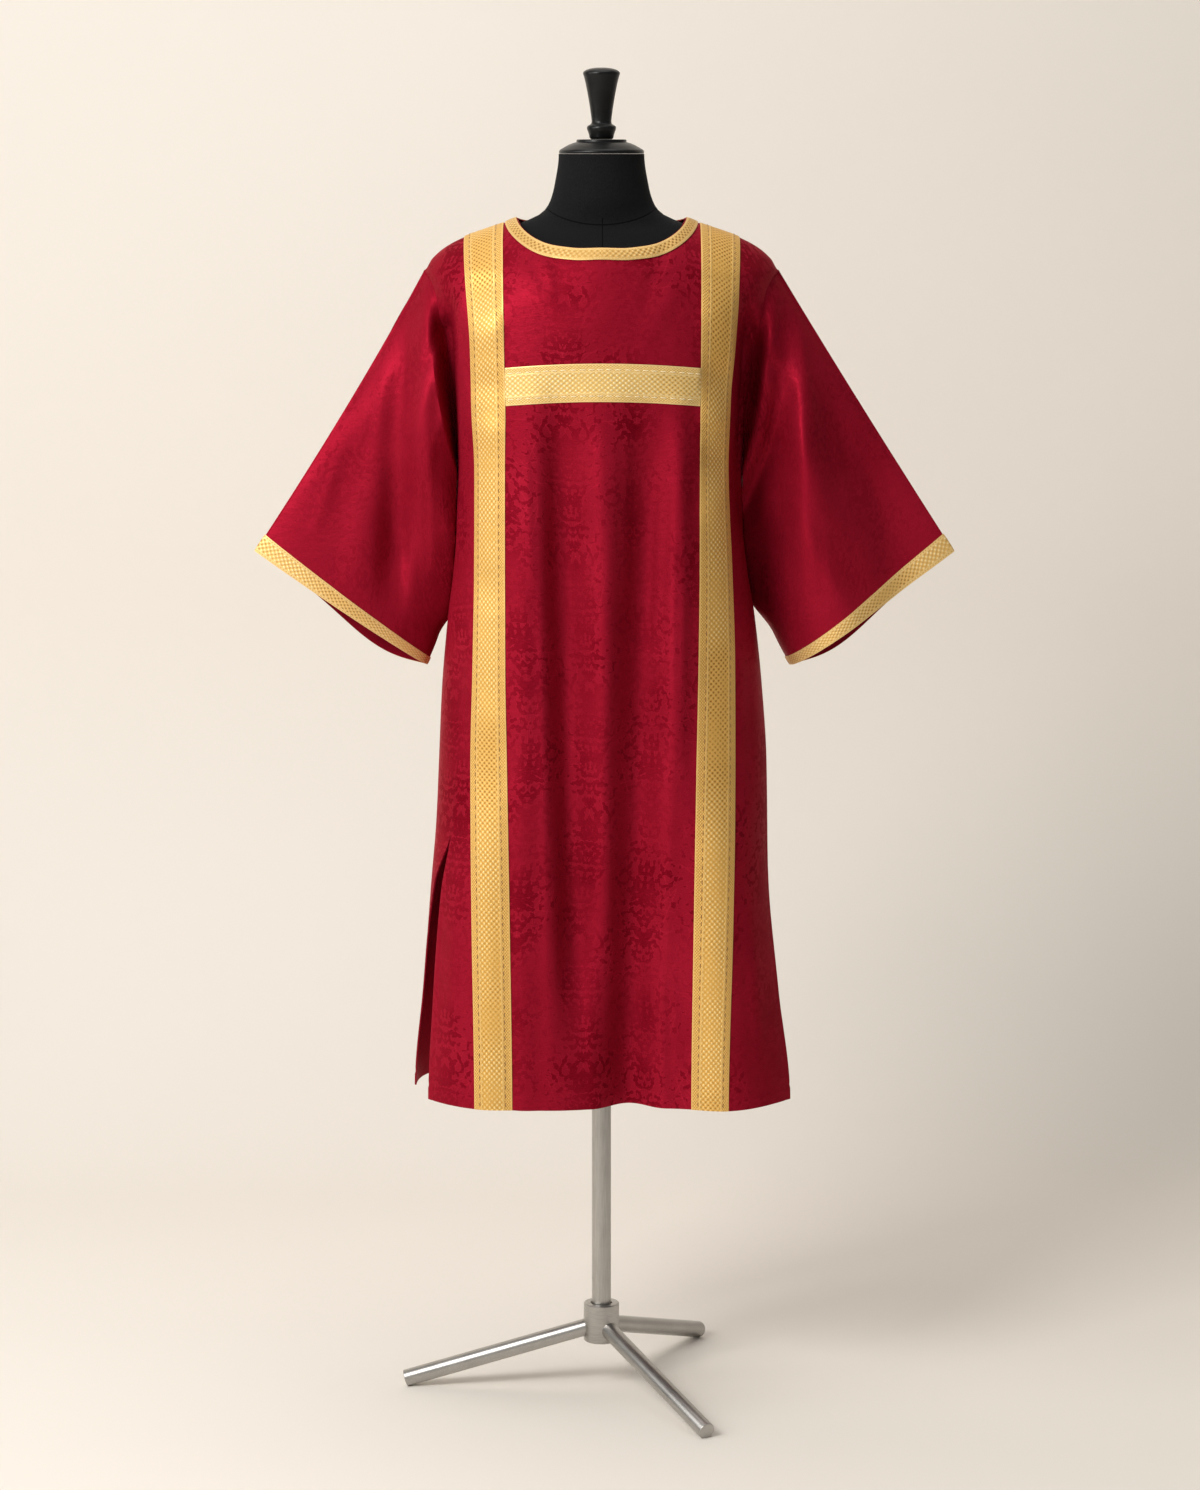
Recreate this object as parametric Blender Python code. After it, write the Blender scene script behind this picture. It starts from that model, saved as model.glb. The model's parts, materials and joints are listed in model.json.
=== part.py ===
"""A crimson deacon's dalmatic with gold galloon, on a limbless dress form with a tripod foot.

Frame: metres, +Z up, the wearer faces -Y, the wearer's right is -X.  The pole's axis is the Z axis
and the floor is Z = 0.  Cloth is a thin wall: each panel is a grid of points on its outer face,
set back along its normals by the wall's thickness.  Galloon is made from the same points, moved out.
"""

import math

import bmesh
import bpy
import numpy as np
from mathutils import Matrix, Vector

for thing in list(bpy.data.objects):
    bpy.data.objects.remove(thing, do_unlink=True)

# ---------------------------------------------------------------- driving sizes

CLOTH = 0.0016            # silk damask with its lining, sewn together at the edges
GALLOON = 0.0010          # woven gold braid
LIFT = 0.0003             # galloon stands this far off the cloth it is sewn on
SEAM = 0.0003             # half of the parting between two panels at a seam
BINDING_LIFT = 0.0008     # the neck binding's curve is finer than the panels' facets

HEM_HEIGHT = 0.430        # hem above the floor
ROLL = 0.120              # height over which a panel rolls from the shoulder line to the vertical
SQUARENESS = 2.5          # exponent of the body's superellipse sections

SHOULDER_TIP_HEIGHT = 1.549
UNDERARM_HEIGHT = 1.270
SLIT_HEIGHT = 0.985
SLIT_OPEN_HEIGHT = 0.800  # down to here the slit's edges still lie together

NECK_HALF_WIDTH = 0.1125  # neck opening at the shoulder line
BINDING_WIDTH = 0.0165
NECK_DROP_FRONT = 0.0685  # below the shoulder lines produced to the centre
NECK_DROP_BACK = 0.030
BINDING_DROP_FRONT = 0.0163
BINDING_DROP_BACK = 0.012
NECK_FULLNESS = 0.75      # exponent of the neckline's curve; 1 is a parabola

BAR_HEIGHT = 1.4246       # top edge of the chest crossbar, where it meets the bands
BAR_RISE = 0.007
BAR_WIDTH = 0.050
BAR_HALF_SPAN = 0.130
BAR_SIDE_FALL = 0.30      # how fast the same thread line falls outside the bands

CUFF_WIDTH = 0.024
SLEEVE_LENGTH = 0.443

# Shoulder line: distance from the centre line and height.
SHOULDER_COLUMNS = ("across", "height")
SHOULDER = (
    (0.0000, 1.6500),
    (0.0400, 1.6435),
    (0.0800, 1.6300),
    (0.1125, 1.6185),
    (0.1305, 1.6114),
    (0.1840, 1.5925),
    (0.2090, 1.5795),
    (0.2270, 1.5640),
    (0.2375, 1.5490),
)

# Body sections.  Widths are half-widths of the section, to the wearer's right (-X) and left (+X).
# Angles are where each panel ends, in degrees round the section from the panel's own centre line.
BODY_COLUMNS = ("height", "front_r", "front_l", "back_r", "back_l", "front_depth", "back_depth",
                "front_end_r", "front_end_l", "back_end_r", "back_end_l")
BODY = (
    (1.650, 0.2375, 0.2375, 0.2375, 0.2375, 0.118, 0.122, 90.0, 90.0, 90.0, 90.0),
    (1.549, 0.2375, 0.2375, 0.2375, 0.2375, 0.132, 0.130, 90.0, 90.0, 90.0, 90.0),
    (1.536, 0.2310, 0.2305, 0.2310, 0.2305, 0.135, 0.131, 80.0, 80.0, 80.0, 80.0),
    (1.512, 0.2255, 0.2240, 0.2255, 0.2240, 0.141, 0.133, 76.0, 75.5, 75.0, 74.5),
    (1.484, 0.2200, 0.2185, 0.2200, 0.2185, 0.146, 0.134, 75.0, 74.5, 73.5, 73.0),
    (1.464, 0.2160, 0.2145, 0.2160, 0.2145, 0.148, 0.135, 72.5, 72.0, 71.0, 70.5),
    (1.420, 0.2080, 0.2050, 0.2080, 0.2050, 0.151, 0.137, 77.0, 77.0, 69.0, 68.5),
    (1.370, 0.2010, 0.1960, 0.2010, 0.1960, 0.152, 0.137, 82.0, 82.0, 70.5, 69.5),
    (1.320, 0.1965, 0.1915, 0.1965, 0.1915, 0.152, 0.136, 85.0, 85.0, 75.5, 75.5),
    (1.285, 0.1950, 0.1900, 0.1950, 0.1900, 0.151, 0.135, 88.0, 88.0, 84.5, 84.5),
    (1.270, 0.1948, 0.1896, 0.1948, 0.1896, 0.151, 0.135, 90.0, 90.0, 90.0, 90.0),
    (1.200, 0.1960, 0.1915, 0.1960, 0.1915, 0.150, 0.134, 88.0, 90.0, 92.0, 90.0),
    (1.140, 0.2010, 0.1985, 0.2010, 0.1985, 0.149, 0.134, 81.0, 88.0, 99.0, 92.0),
    (1.090, 0.2075, 0.2070, 0.2075, 0.2070, 0.149, 0.134, 73.0, 86.0, 107.0, 94.0),
    (0.985, 0.2170, 0.2185, 0.2170, 0.2185, 0.149, 0.137, 57.0, 81.0, 123.0, 99.0),
    (0.890, 0.2215, 0.2250, 0.2215, 0.2250, 0.150, 0.141, 58.0, 81.0, 122.0, 99.0),
    (0.800, 0.2260, 0.2268, 0.2260, 0.2268, 0.151, 0.145, 60.5, 80.5, 119.5, 99.5),
    (0.720, 0.2378, 0.2310, 0.2330, 0.2280, 0.152, 0.149, 62.5, 78.0, 104.0, 95.0),
    (0.575, 0.2484, 0.2532, 0.2445, 0.2360, 0.153, 0.155, 64.0, 70.0, 91.0, 91.0),
    (0.430, 0.2564, 0.2795, 0.2573, 0.2450, 0.155, 0.160, 64.0, 64.0, 90.0, 90.0),
)

# Edges of the two vertical bands, as distances from the centre line.
BAND_COLUMNS = ("height", "r_outer", "r_inner", "l_inner", "l_outer")
BANDS = (
    (1.600, 0.1833, 0.1305, 0.1315, 0.1843),
    (1.540, 0.1800, 0.1292, 0.1311, 0.1818),
    (1.455, 0.1730, 0.1278, 0.1306, 0.1765),
    (1.375, 0.1718, 0.1262, 0.1302, 0.1702),
    (1.290, 0.1681, 0.1270, 0.1296, 0.1681),
    (1.153, 0.1690, 0.1274, 0.1297, 0.1738),
    (1.026, 0.1715, 0.1274, 0.1285, 0.1778),
    (0.885, 0.1749, 0.1255, 0.1262, 0.1785),
    (0.695, 0.1738, 0.1227, 0.1238, 0.1763),
    (0.430, 0.1708, 0.1199, 0.1212, 0.1708),
)

# Hanging folds.  A fold is a ridge (height > 0) or a trough (height < 0) whose crest runs from
# (x_top, z_top) to (x_end, z_end); it reaches further towards one side than the other, reach_low
# towards lower X and reach_high towards higher X.  It dies away over a share of its
# length at each end, but a fold that ends below the hem runs out through it.
FOLD_FADE = 0.25
FOLD_LIMIT = 0.6          # no fold draws the cloth in further than this share of its depth there
FOLD_COLUMNS = ("x_top", "z_top", "x_end", "z_end", "reach_low", "reach_high", "height")
FRONT_FOLDS = (
    (-0.058, 1.420, -0.046, 0.700, 0.042, 0.054, -0.017),
    (0.066, 1.420, 0.038, 0.390, 0.050, 0.054, -0.018),
    (0.030, 1.060, 0.036, 0.390, 0.125, 0.145, -0.008),
    (0.032, 0.780, 0.036, 0.390, 0.120, 0.150, -0.010),
    (-0.165, 0.900, -0.168, 0.390, 0.095, 0.075, 0.012),
    (0.170, 0.900, 0.182, 0.390, 0.085, 0.090, 0.020),
    (0.004, 1.400, 0.000, 0.800, 0.034, 0.034, 0.003),
    (-0.108, 1.420, -0.104, 0.400, 0.022, 0.026, 0.004),
    (0.106, 1.420, 0.102, 0.850, 0.030, 0.020, 0.006),
    (0.000, 1.600, 0.000, 1.440, 0.080, 0.080, 0.004),
    (-0.202, 1.535, -0.200, 1.220, 0.022, 0.012, -0.050),
    (0.194, 1.535, 0.192, 1.170, 0.022, 0.024, -0.060),
)
BACK_FOLDS = (
    (-0.090, 1.420, -0.080, 0.700, 0.036, 0.036, -0.012),
    (-0.040, 1.400, -0.044, 0.640, 0.034, 0.034, 0.006),
    (0.008, 1.440, 0.004, 0.390, 0.036, 0.036, -0.013),
    (0.060, 1.400, 0.056, 0.600, 0.034, 0.034, 0.006),
    (0.098, 1.400, 0.100, 0.760, 0.028, 0.028, -0.010),
    (-0.066, 0.740, -0.060, 0.390, 0.044, 0.044, -0.012),
    (0.086, 0.700, 0.084, 0.390, 0.040, 0.040, -0.012),
    (-0.158, 0.800, -0.180, 0.390, 0.030, 0.030, 0.005),
    (0.156, 0.800, 0.176, 0.390, 0.030, 0.030, 0.004),
    (-0.196, 1.530, -0.198, 1.210, 0.022, 0.016, -0.030),
    (0.190, 1.530, 0.192, 1.210, 0.016, 0.022, -0.030),
)

# Sleeve folds, with distances from the centre line; the same columns as above.
SLEEVE_FOLDS = {
    "r_front": (
        (0.262, 1.520, 0.264, 1.090, 0.022, 0.026, -0.013),
        (0.234, 1.480, 0.242, 1.090, 0.018, 0.018, 0.004),
        (0.300, 1.440, 0.330, 1.080, 0.034, 0.040, 0.005),
    ),
    "r_back": (
        (0.272, 1.480, 0.306, 1.060, 0.030, 0.030, -0.011),
        (0.330, 1.380, 0.372, 1.100, 0.034, 0.034, 0.005),
    ),
    "l_front": (
        (0.240, 1.540, 0.240, 1.250, 0.028, 0.034, -0.016),
        (0.276, 1.460, 0.302, 1.080, 0.040, 0.034, 0.010),
        (0.330, 1.400, 0.372, 1.080, 0.030, 0.040, 0.003),
    ),
    "l_back": (
        (0.266, 1.480, 0.300, 1.060, 0.030, 0.030, -0.011),
        (0.322, 1.380, 0.366, 1.100, 0.034, 0.034, 0.005),
    ),
}

# Sleeve corners: the upper fold's bend and tip, and the underarm edge's bend and tip, each as its
# distance from the centre line, depth and height.
SLEEVES = {
    "r": {"fold_bend": (0.3425, -0.004, 1.368), "fold_tip": (0.4685, -0.012, 1.1715),
          "under_bend": (0.2056, 0.040, 1.1203), "under_tip": (0.2384, 0.010, 1.0150)},
    "l": {"fold_bend": (0.3450, -0.004, 1.376), "fold_tip": (0.4765, -0.012, 1.1710),
          "under_bend": (0.2095, 0.040, 1.1262), "under_tip": (0.2575, 0.010, 1.0148)},
}
SLEEVE_SWELL = {"front": 0.036, "back": 0.038}
SLEEVE_OPENED = 0.35      # share of the sleeve's length over which it swells to that
SLEEVE_FOLDS_OPEN = 0.10  # and over which its folds deepen
SLEEVE_ROLL = {"front": 0.070, "back": 0.045}  # beside the body the sleeve rolls out this deep
SLEEVE_ROLL_IN = 0.018    # and its underside is drawn in this much towards the body
SLEEVE_SIDE_GAP = 0.0015  # between the sleeve's inner edge and the body's side
SLEEVE_SIDE_SPREAD = 0.030
UNDERARM_REACH = 0.030    # it is kept clear of the body from this far above the underarm
SLEEVE_SPREAD_TOP = 1.100  # below here the sleeve's inner edge leaves the body
CUFF_BACK_DROP = 0.020    # the back of the cuff hangs lower than its front

# Dress form sections: height, half-width, and depth before and behind the pole's axis.
FORM = (
    (0.780, 0.1560, 0.100, 0.106),
    (0.820, 0.1640, 0.106, 0.114),
    (0.880, 0.1680, 0.112, 0.120),
    (0.940, 0.1640, 0.114, 0.119),
    (1.020, 0.1480, 0.110, 0.110),
    (1.100, 0.1360, 0.106, 0.100),
    (1.180, 0.1420, 0.112, 0.103),
    (1.260, 0.1560, 0.122, 0.108),
    (1.330, 0.1640, 0.128, 0.112),
    (1.400, 0.1740, 0.127, 0.114),
    (1.450, 0.1850, 0.124, 0.114),
    (1.500, 0.1940, 0.120, 0.110),
    (1.540, 0.1950, 0.112, 0.104),
    (1.566, 0.1860, 0.098, 0.092),
    (1.586, 0.1640, 0.083, 0.081),
    (1.602, 0.1320, 0.070, 0.070),
    (1.613, 0.1040, 0.062, 0.063),
    (1.626, 0.0785, 0.0630, 0.063),
    (1.640, 0.0690, 0.0645, 0.064),
    (1.660, 0.0632, 0.0620, 0.062),
    (1.703, 0.0572, 0.0572, 0.0572),
)

# Turned profiles: radius and height.
CAP_PROFILE = ((0.0562, 1.7033), (0.0568, 1.7045), (0.0565, 1.7072), (0.0545, 1.7090),
               (0.0440, 1.7150), (0.0335, 1.7183), (0.0332, 1.7212), (0.0322, 1.7220))
FINIAL_PROFILE = ((0.0140, 1.7223), (0.0158, 1.7240), (0.0166, 1.7285), (0.0194, 1.7360),
                  (0.0190, 1.7392), (0.0150, 1.7412), (0.0132, 1.7445), (0.0138, 1.7520),
                  (0.0172, 1.7750), (0.0212, 1.7960), (0.0247, 1.8085), (0.0238, 1.8113),
                  (0.0185, 1.8142), (0.0100, 1.8161))
FINIAL_TOP = 1.8167

POLE_RADIUS = 0.0132
HUB_RADIUS = 0.0246
HUB_BOTTOM = 0.0660
HUB_TOP = 0.1200
HUB_BORE = 0.0146         # leaves the dark ring that shows round the pole
HUB_BORE_FLOOR = 0.1040
HUB_EDGE = 0.0012
LEG_RADIUS = 0.0117
LEG_BORE = 0.0120
LEG_INNER_REACH = 0.0090  # where a leg's axis starts, inside the hub
LEG_ROOT_HEIGHT = 0.0835  # of a leg's axis at the hub's surface
LEG_REACH = 0.2740        # of a leg's end from the pole's axis
LEG_END_HEIGHT = 0.0102   # low enough for the floor to cut a flat under the end
LEG_EDGE = 0.0010
LEG_ANGLES = {"leg_right": 180.0, "leg_front": -59.0, "leg_back": 59.0}

# ---------------------------------------------------------------- materials


def material(name, colour, roughness, metallic=0.0):
    made = bpy.data.materials.new(name)
    made.use_nodes = True
    shader = made.node_tree.nodes["Principled BSDF"]
    shader.inputs["Base Color"].default_value = (*colour, 1.0)
    shader.inputs["Roughness"].default_value = roughness
    shader.inputs["Metallic"].default_value = metallic
    return made


DAMASK = material("crimson_damask", (0.34, 0.014, 0.036), 0.45)
BRAID = material("gold_galloon", (0.72, 0.46, 0.15), 0.40, 0.35)
JERSEY = material("black_jersey", (0.012, 0.013, 0.015), 0.85)
TURNED_WOOD = material("black_turned_wood", (0.010, 0.010, 0.010), 0.35)
STEEL = material("brushed_steel", (0.52, 0.50, 0.47), 0.32, 1.0)

# ---------------------------------------------------------------- curves and surfaces


def read(table, columns, column, at):
    """A table's column at a value of its first column, on a smooth curve through the rows."""
    rows = sorted(table)
    keys = [row[0] for row in rows]
    values = [row[columns.index(column)] for row in rows]
    if at <= keys[0]:
        return values[0]
    if at >= keys[-1]:
        return values[-1]
    i = max(j for j in range(len(keys) - 1) if keys[j] <= at)

    def slope(j):
        if j == 0 or j == len(keys) - 1:
            return 0.0
        before = (values[j] - values[j - 1]) / (keys[j] - keys[j - 1])
        after = (values[j + 1] - values[j]) / (keys[j + 1] - keys[j])
        if before * after <= 0.0:
            return 0.0
        return 2.0 * before * after / (before + after)

    span = keys[i + 1] - keys[i]
    t = (at - keys[i]) / span
    start, end = slope(i) * span, slope(i + 1) * span
    return ((2 * t**3 - 3 * t**2 + 1) * values[i] + (t**3 - 2 * t**2 + t) * start
            + (3 * t**2 - 2 * t**3) * values[i + 1] + (t**3 - t**2) * end)


def smooth_step(t):
    t = min(max(t, 0.0), 1.0)
    return t * t * (3.0 - 2.0 * t)


def fold_height(folds, x, z):
    """The sum of the folds' heights at a place on a panel."""
    total = 0.0
    for row in folds:
        fold = dict(zip(FOLD_COLUMNS, row))
        along = (fold["z_top"] - z) / (fold["z_top"] - fold["z_end"])
        crest = fold["x_top"] + (fold["x_end"] - fold["x_top"]) * min(max(along, 0.0), 1.0)
        aside = (crest - x) / fold["reach_low"] if x < crest else (x - crest) / fold["reach_high"]
        if aside < 1.0:
            held = 1.0 if fold["z_end"] < HEM_HEIGHT else 0.0
            fade = smooth_step(along / FOLD_FADE) * smooth_step((1.0 - along) / FOLD_FADE + held)
            total += fold["height"] * math.cos(aside * math.pi / 2) ** 2 * fade
    return total


def shoulder_height(x):
    return read(SHOULDER, SHOULDER_COLUMNS, "height", abs(x))


def section_place(panel, angle, z):
    """X and the unfolded depth of a body section, at an angle from the panel's centre line."""
    side = "l" if angle > 0 else "r"
    width = read(BODY, BODY_COLUMNS, f"{panel}_{side}", z)
    depth = read(BODY, BODY_COLUMNS, f"{panel}_depth", z)
    power = 2.0 / SQUARENESS
    across = width * abs(math.sin(angle)) ** power
    cosine = math.cos(angle)
    out = depth * abs(cosine) ** power * (1 if cosine >= 0 else -1)
    return math.copysign(across, angle), out


def section_angle(panel, x, z):
    """The angle at which a body section reaches a given X."""
    side = "l" if x > 0 else "r"
    width = read(BODY, BODY_COLUMNS, f"{panel}_{side}", z)
    return math.copysign(math.asin(min(abs(x) / width, 1.0) ** (SQUARENESS / 2)), x)


def body_point(panel, angle, z):
    """A point on a panel's outer face."""
    x, out = section_place(panel, angle, z)
    below = max(shoulder_height(x) - z, 0.0)
    roll = math.sqrt(max(1.0 - max(1.0 - below / ROLL, 0.0) ** 2, 0.0))
    folds = FRONT_FOLDS if panel == "front" else BACK_FOLDS
    facing = -1.0 if panel == "front" else 1.0
    relief = max(fold_height(folds, x, z) * smooth_step(below / ROLL), -FOLD_LIMIT * abs(out) * roll)
    y = facing * (out * roll + relief + SEAM)
    return Vector((x, y, z))


def neck_drop(panel, x, inset):
    """How far below the shoulder line the neck opening runs, or the binding's outer edge at inset 1."""
    half = NECK_HALF_WIDTH + BINDING_WIDTH * inset
    drop = {"front": NECK_DROP_FRONT + BINDING_DROP_FRONT * inset,
            "back": NECK_DROP_BACK + BINDING_DROP_BACK * inset}[panel]
    return drop * max(1.0 - (x / half) ** 2, 0.0) ** NECK_FULLNESS


# ---------------------------------------------------------------- walls


def grid_normals(grid, closed):
    """Unit normals of a grid of points, by differences of its neighbours."""
    points = np.array(grid)
    down = np.gradient(points, axis=0)
    if closed:
        along = (np.roll(points, -1, axis=1) - np.roll(points, 1, axis=1)) / 2
    else:
        along = np.gradient(points, axis=1)
    normals = np.cross(down, along)
    return normals / np.linalg.norm(normals, axis=2, keepdims=True)


def wall(name, finish, outer, inner, closed=False, mirrored=0):
    """A closed thin solid between two grids of points; closed grids join their last column to the
    first.  The first mirrored rows of cells take their other diagonals, to match the cloth that they
    lie on or to turn a tight corner."""
    outer, inner = np.array(outer), np.array(inner)
    rows, columns = outer.shape[:2]
    vertices = [tuple(p) for p in outer.reshape(-1, 3)] + [tuple(p) for p in inner.reshape(-1, 3)]
    back = rows * columns
    faces = []
    last = columns if closed else columns - 1
    for r in range(rows - 1):
        for c in range(last):
            a, b = r * columns + c, r * columns + (c + 1) % columns
            d, e = a + columns, b + columns
            halves = ((a, b, d), (b, e, d)) if r < mirrored else ((a, b, e), (a, e, d))
            for half in halves:
                faces.append(half)
                faces.append(tuple(back + corner for corner in reversed(half)))
    for c in range(last):
        a, b = c, (c + 1) % columns
        faces.append((a, back + a, back + b, b))
        a, b = a + back - columns, b + back - columns
        faces.append((a, b, back + b, back + a))
    if not closed:
        for r in range(rows - 1):
            a, d = r * columns, (r + 1) * columns
            faces.append((a, d, back + d, back + a))
            a, d = a + columns - 1, d + columns - 1
            faces.append((a, back + a, back + d, d))
    return solid(name, finish, vertices, faces)


def solid(name, finish, vertices, faces):
    mesh = bpy.data.meshes.new(name)
    mesh.from_pydata(vertices, [], faces)
    mesh.materials.append(finish)
    shape = bmesh.new()
    shape.from_mesh(mesh)
    bmesh.ops.recalc_face_normals(shape, faces=shape.faces)
    shape.to_mesh(mesh)
    shape.free()
    mesh.shade_smooth()
    piece = bpy.data.objects.new(name, mesh)
    bpy.context.scene.collection.objects.link(piece)
    return piece


# ---------------------------------------------------------------- the panels' grids

ROLL_ROWS = 7             # over the shoulder
CHEST_ROWS = 2            # from there to the crossbar
BAR_ROWS = 2
SIDE_ROWS = 3             # from there to the underarm
SEAM_ROWS = 5             # from there to the top of the side slits
SLIT_ROWS = 3             # where the slit's edges lie together
SKIRT_ROWS = 7            # from there to the hem
CENTRE_COLUMNS = 14       # across the neck opening
NECK_SIDE_COLUMNS = 1     # from the neck opening to a band
BAND_COLUMNS_ACROSS = 3
SIDE_COLUMNS = 5          # from a band to the seam


def key_angles(panel, z):
    """The section angles of the seams, the bands' edges and the neck corners, from -X to +X."""
    end_r = math.radians(read(BODY, BODY_COLUMNS, f"{panel}_end_r", z))
    end_l = math.radians(read(BODY, BODY_COLUMNS, f"{panel}_end_l", z))
    places = [-read(BANDS, BAND_COLUMNS, "r_outer", z), -read(BANDS, BAND_COLUMNS, "r_inner", z),
              -NECK_HALF_WIDTH, NECK_HALF_WIDTH,
              read(BANDS, BAND_COLUMNS, "l_inner", z), read(BANDS, BAND_COLUMNS, "l_outer", z)]
    return [-end_r] + [section_angle(panel, x, z) for x in places] + [end_l]


COLUMN_COUNTS = (SIDE_COLUMNS, BAND_COLUMNS_ACROSS, NECK_SIDE_COLUMNS, CENTRE_COLUMNS,
                 NECK_SIDE_COLUMNS, BAND_COLUMNS_ACROSS, SIDE_COLUMNS)
LANES = [(lane, step / count) for lane, count in enumerate(COLUMN_COUNTS) for step in range(count)]
LANES.append((len(COLUMN_COUNTS) - 1, 1.0))


def lane_angle(panel, lane, share, z):
    angles = key_angles(panel, z)
    return angles[lane] + (angles[lane + 1] - angles[lane]) * share


def bar_top(x):
    rise = BAR_RISE * max(1.0 - (x / BAR_HALF_SPAN) ** 2, 0.0)
    return BAR_HEIGHT + rise - BAR_SIDE_FALL * max(abs(x) - BAR_HALF_SPAN, 0.0)


def column_heights(panel, lane, share):
    """The heights of a column's points, from the shoulder line or the neck opening to the hem."""
    top_angle = lane_angle(panel, lane, share, SHOULDER_TIP_HEIGHT)
    top_x = section_place(panel, top_angle, SHOULDER_TIP_HEIGHT)[0]
    ridge = shoulder_height(top_x)
    drop = neck_drop(panel, top_x, 0.0) if abs(top_x) < NECK_HALF_WIDTH - 1e-6 else 0.0
    first = math.acos(1.0 - drop / ROLL)
    turns = [first + (math.pi / 2 - first) * row / ROLL_ROWS for row in range(ROLL_ROWS + 1)]
    heights = [ridge - ROLL * (1.0 - math.cos(turn)) for turn in turns]
    levels = (heights[-1], bar_top(top_x), bar_top(top_x) - BAR_WIDTH, UNDERARM_HEIGHT, SLIT_HEIGHT,
              SLIT_OPEN_HEIGHT, HEM_HEIGHT)
    counts = (CHEST_ROWS, BAR_ROWS, SIDE_ROWS, SEAM_ROWS, SLIT_ROWS, SKIRT_ROWS)
    for (start, end), rows in zip(zip(levels, levels[1:]), counts):
        heights += [start + (end - start) * (row + 1) / rows for row in range(rows)]
    return heights


def panel_grid(panel):
    columns = []
    for lane, share in LANES:
        column = []
        for z in column_heights(panel, lane, share):
            column.append(body_point(panel, lane_angle(panel, lane, share, z), z))
        columns.append(column)
    rows = [list(row) for row in zip(*columns)]
    if panel == "back":
        rows = [row[::-1] for row in rows]
    return rows


def as_array(grid):
    return np.array([[tuple(point) for point in row] for row in grid])


GRIDS = {panel: as_array(panel_grid(panel)) for panel in ("front", "back")}
NORMALS = {panel: grid_normals(GRIDS[panel], closed=False) for panel in GRIDS}


def share_normals(front_place, back_place):
    """Gives two points that meet at a seam the mean of their normals, so that the walls stay parted."""
    mean = NORMALS["front"][front_place] + NORMALS["back"][back_place]
    mean /= np.linalg.norm(mean)
    NORMALS["front"][front_place] = mean
    NORMALS["back"][back_place] = mean


for column in range(GRIDS["front"].shape[1]):
    if abs(GRIDS["front"][0, column, 0]) > NECK_HALF_WIDTH - 1e-4:
        share_normals((0, column), (0, -1 - column))
for row in range(GRIDS["front"].shape[0]):
    if SLIT_OPEN_HEIGHT - SEAM < GRIDS["front"][row, 0, 2] < UNDERARM_HEIGHT + SEAM:
        share_normals((row, 0), (row, -1))
        share_normals((row, -1), (row, 0))


def build_panel(panel):
    outer, normals = GRIDS[panel], NORMALS[panel]
    return wall(f"{panel}_panel", DAMASK, outer, outer - normals * CLOTH)


def lane_columns(panel, lane):
    """The grid columns that bound a lane, in the grid's own order."""
    first = sum(COLUMN_COUNTS[:lane])
    last = first + COLUMN_COUNTS[lane]
    total = sum(COLUMN_COUNTS)
    if panel == "back":
        first, last = total - last, total - first
    return slice(first, last + 1)


def build_band(name, lane):
    """One length of galloon from the front hem over the shoulder to the back hem."""
    front, back = lane_columns("front", lane), lane_columns("back", lane)
    points = np.concatenate([GRIDS["front"][::-1, front], GRIDS["back"][:, back][:, ::-1]])
    normals = np.concatenate([NORMALS["front"][::-1, front], NORMALS["back"][:, back][:, ::-1]])
    under = points + normals * LIFT
    return wall(name, BRAID, under + normals * GALLOON, under, mirrored=len(under))


def build_crossbar():
    first = ROLL_ROWS + CHEST_ROWS
    rows = slice(first, first + BAR_ROWS + 1)
    start, end = sum(COLUMN_COUNTS[:2]), sum(COLUMN_COUNTS[:5])
    points, normals = GRIDS["front"][rows, start:end + 1].copy(), NORMALS["front"][rows, start:end + 1]
    points[:, 0, 0] += 2 * SEAM
    points[:, -1, 0] -= 2 * SEAM
    under = points + normals * LIFT
    return wall("chest_crossbar", BRAID, under + normals * GALLOON, under)


BINDING_STEPS = 48
BINDING_ROWS = (0.0, 0.5, 0.97)


def build_neck_binding():
    """A ring of narrow galloon round the neck opening, over both panels."""
    grid = []
    for inset in BINDING_ROWS:
        half = NECK_HALF_WIDTH + BINDING_WIDTH * inset
        ring = []
        for step in range(BINDING_STEPS):
            turn = 2 * math.pi * step / BINDING_STEPS
            x = half * math.sin(turn)
            panel = "front" if math.cos(turn) > 0 else "back"
            z = shoulder_height(x) - neck_drop(panel, x, inset)
            ring.append(body_point(panel, section_angle(panel, x, z), z))
        grid.append(ring)
    points = as_array(grid)
    normals = grid_normals(points, closed=True)
    under = points + normals * BINDING_LIFT
    return wall("neck_binding", BRAID, under + normals * GALLOON, under, closed=True)


# ---------------------------------------------------------------- sleeves

ARMHOLE_STEPS = ROLL_ROWS + CHEST_ROWS + BAR_ROWS + SIDE_ROWS
SLEEVE_ROWS = (0.0, 0.045, 0.09, 0.15, 0.22, 0.33, 0.45, 0.57, 0.69, 0.79, 0.88,
               1.0 - CUFF_WIDTH / SLEEVE_LENGTH, 1.0)
SLEEVE_START_GAP = Vector((0.0014, 0.0, -0.0005))
BELLY_PEAK = 0.51         # brings the swell's greatest value to 1


def bend(start, middle, end, t):
    """A point on the quadratic curve that passes through its middle point at t = 1/2."""
    pull = middle * 2.0 - (start + end) / 2.0
    return start * (1 - t) ** 2 + pull * 2 * t * (1 - t) + end * t**2


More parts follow.
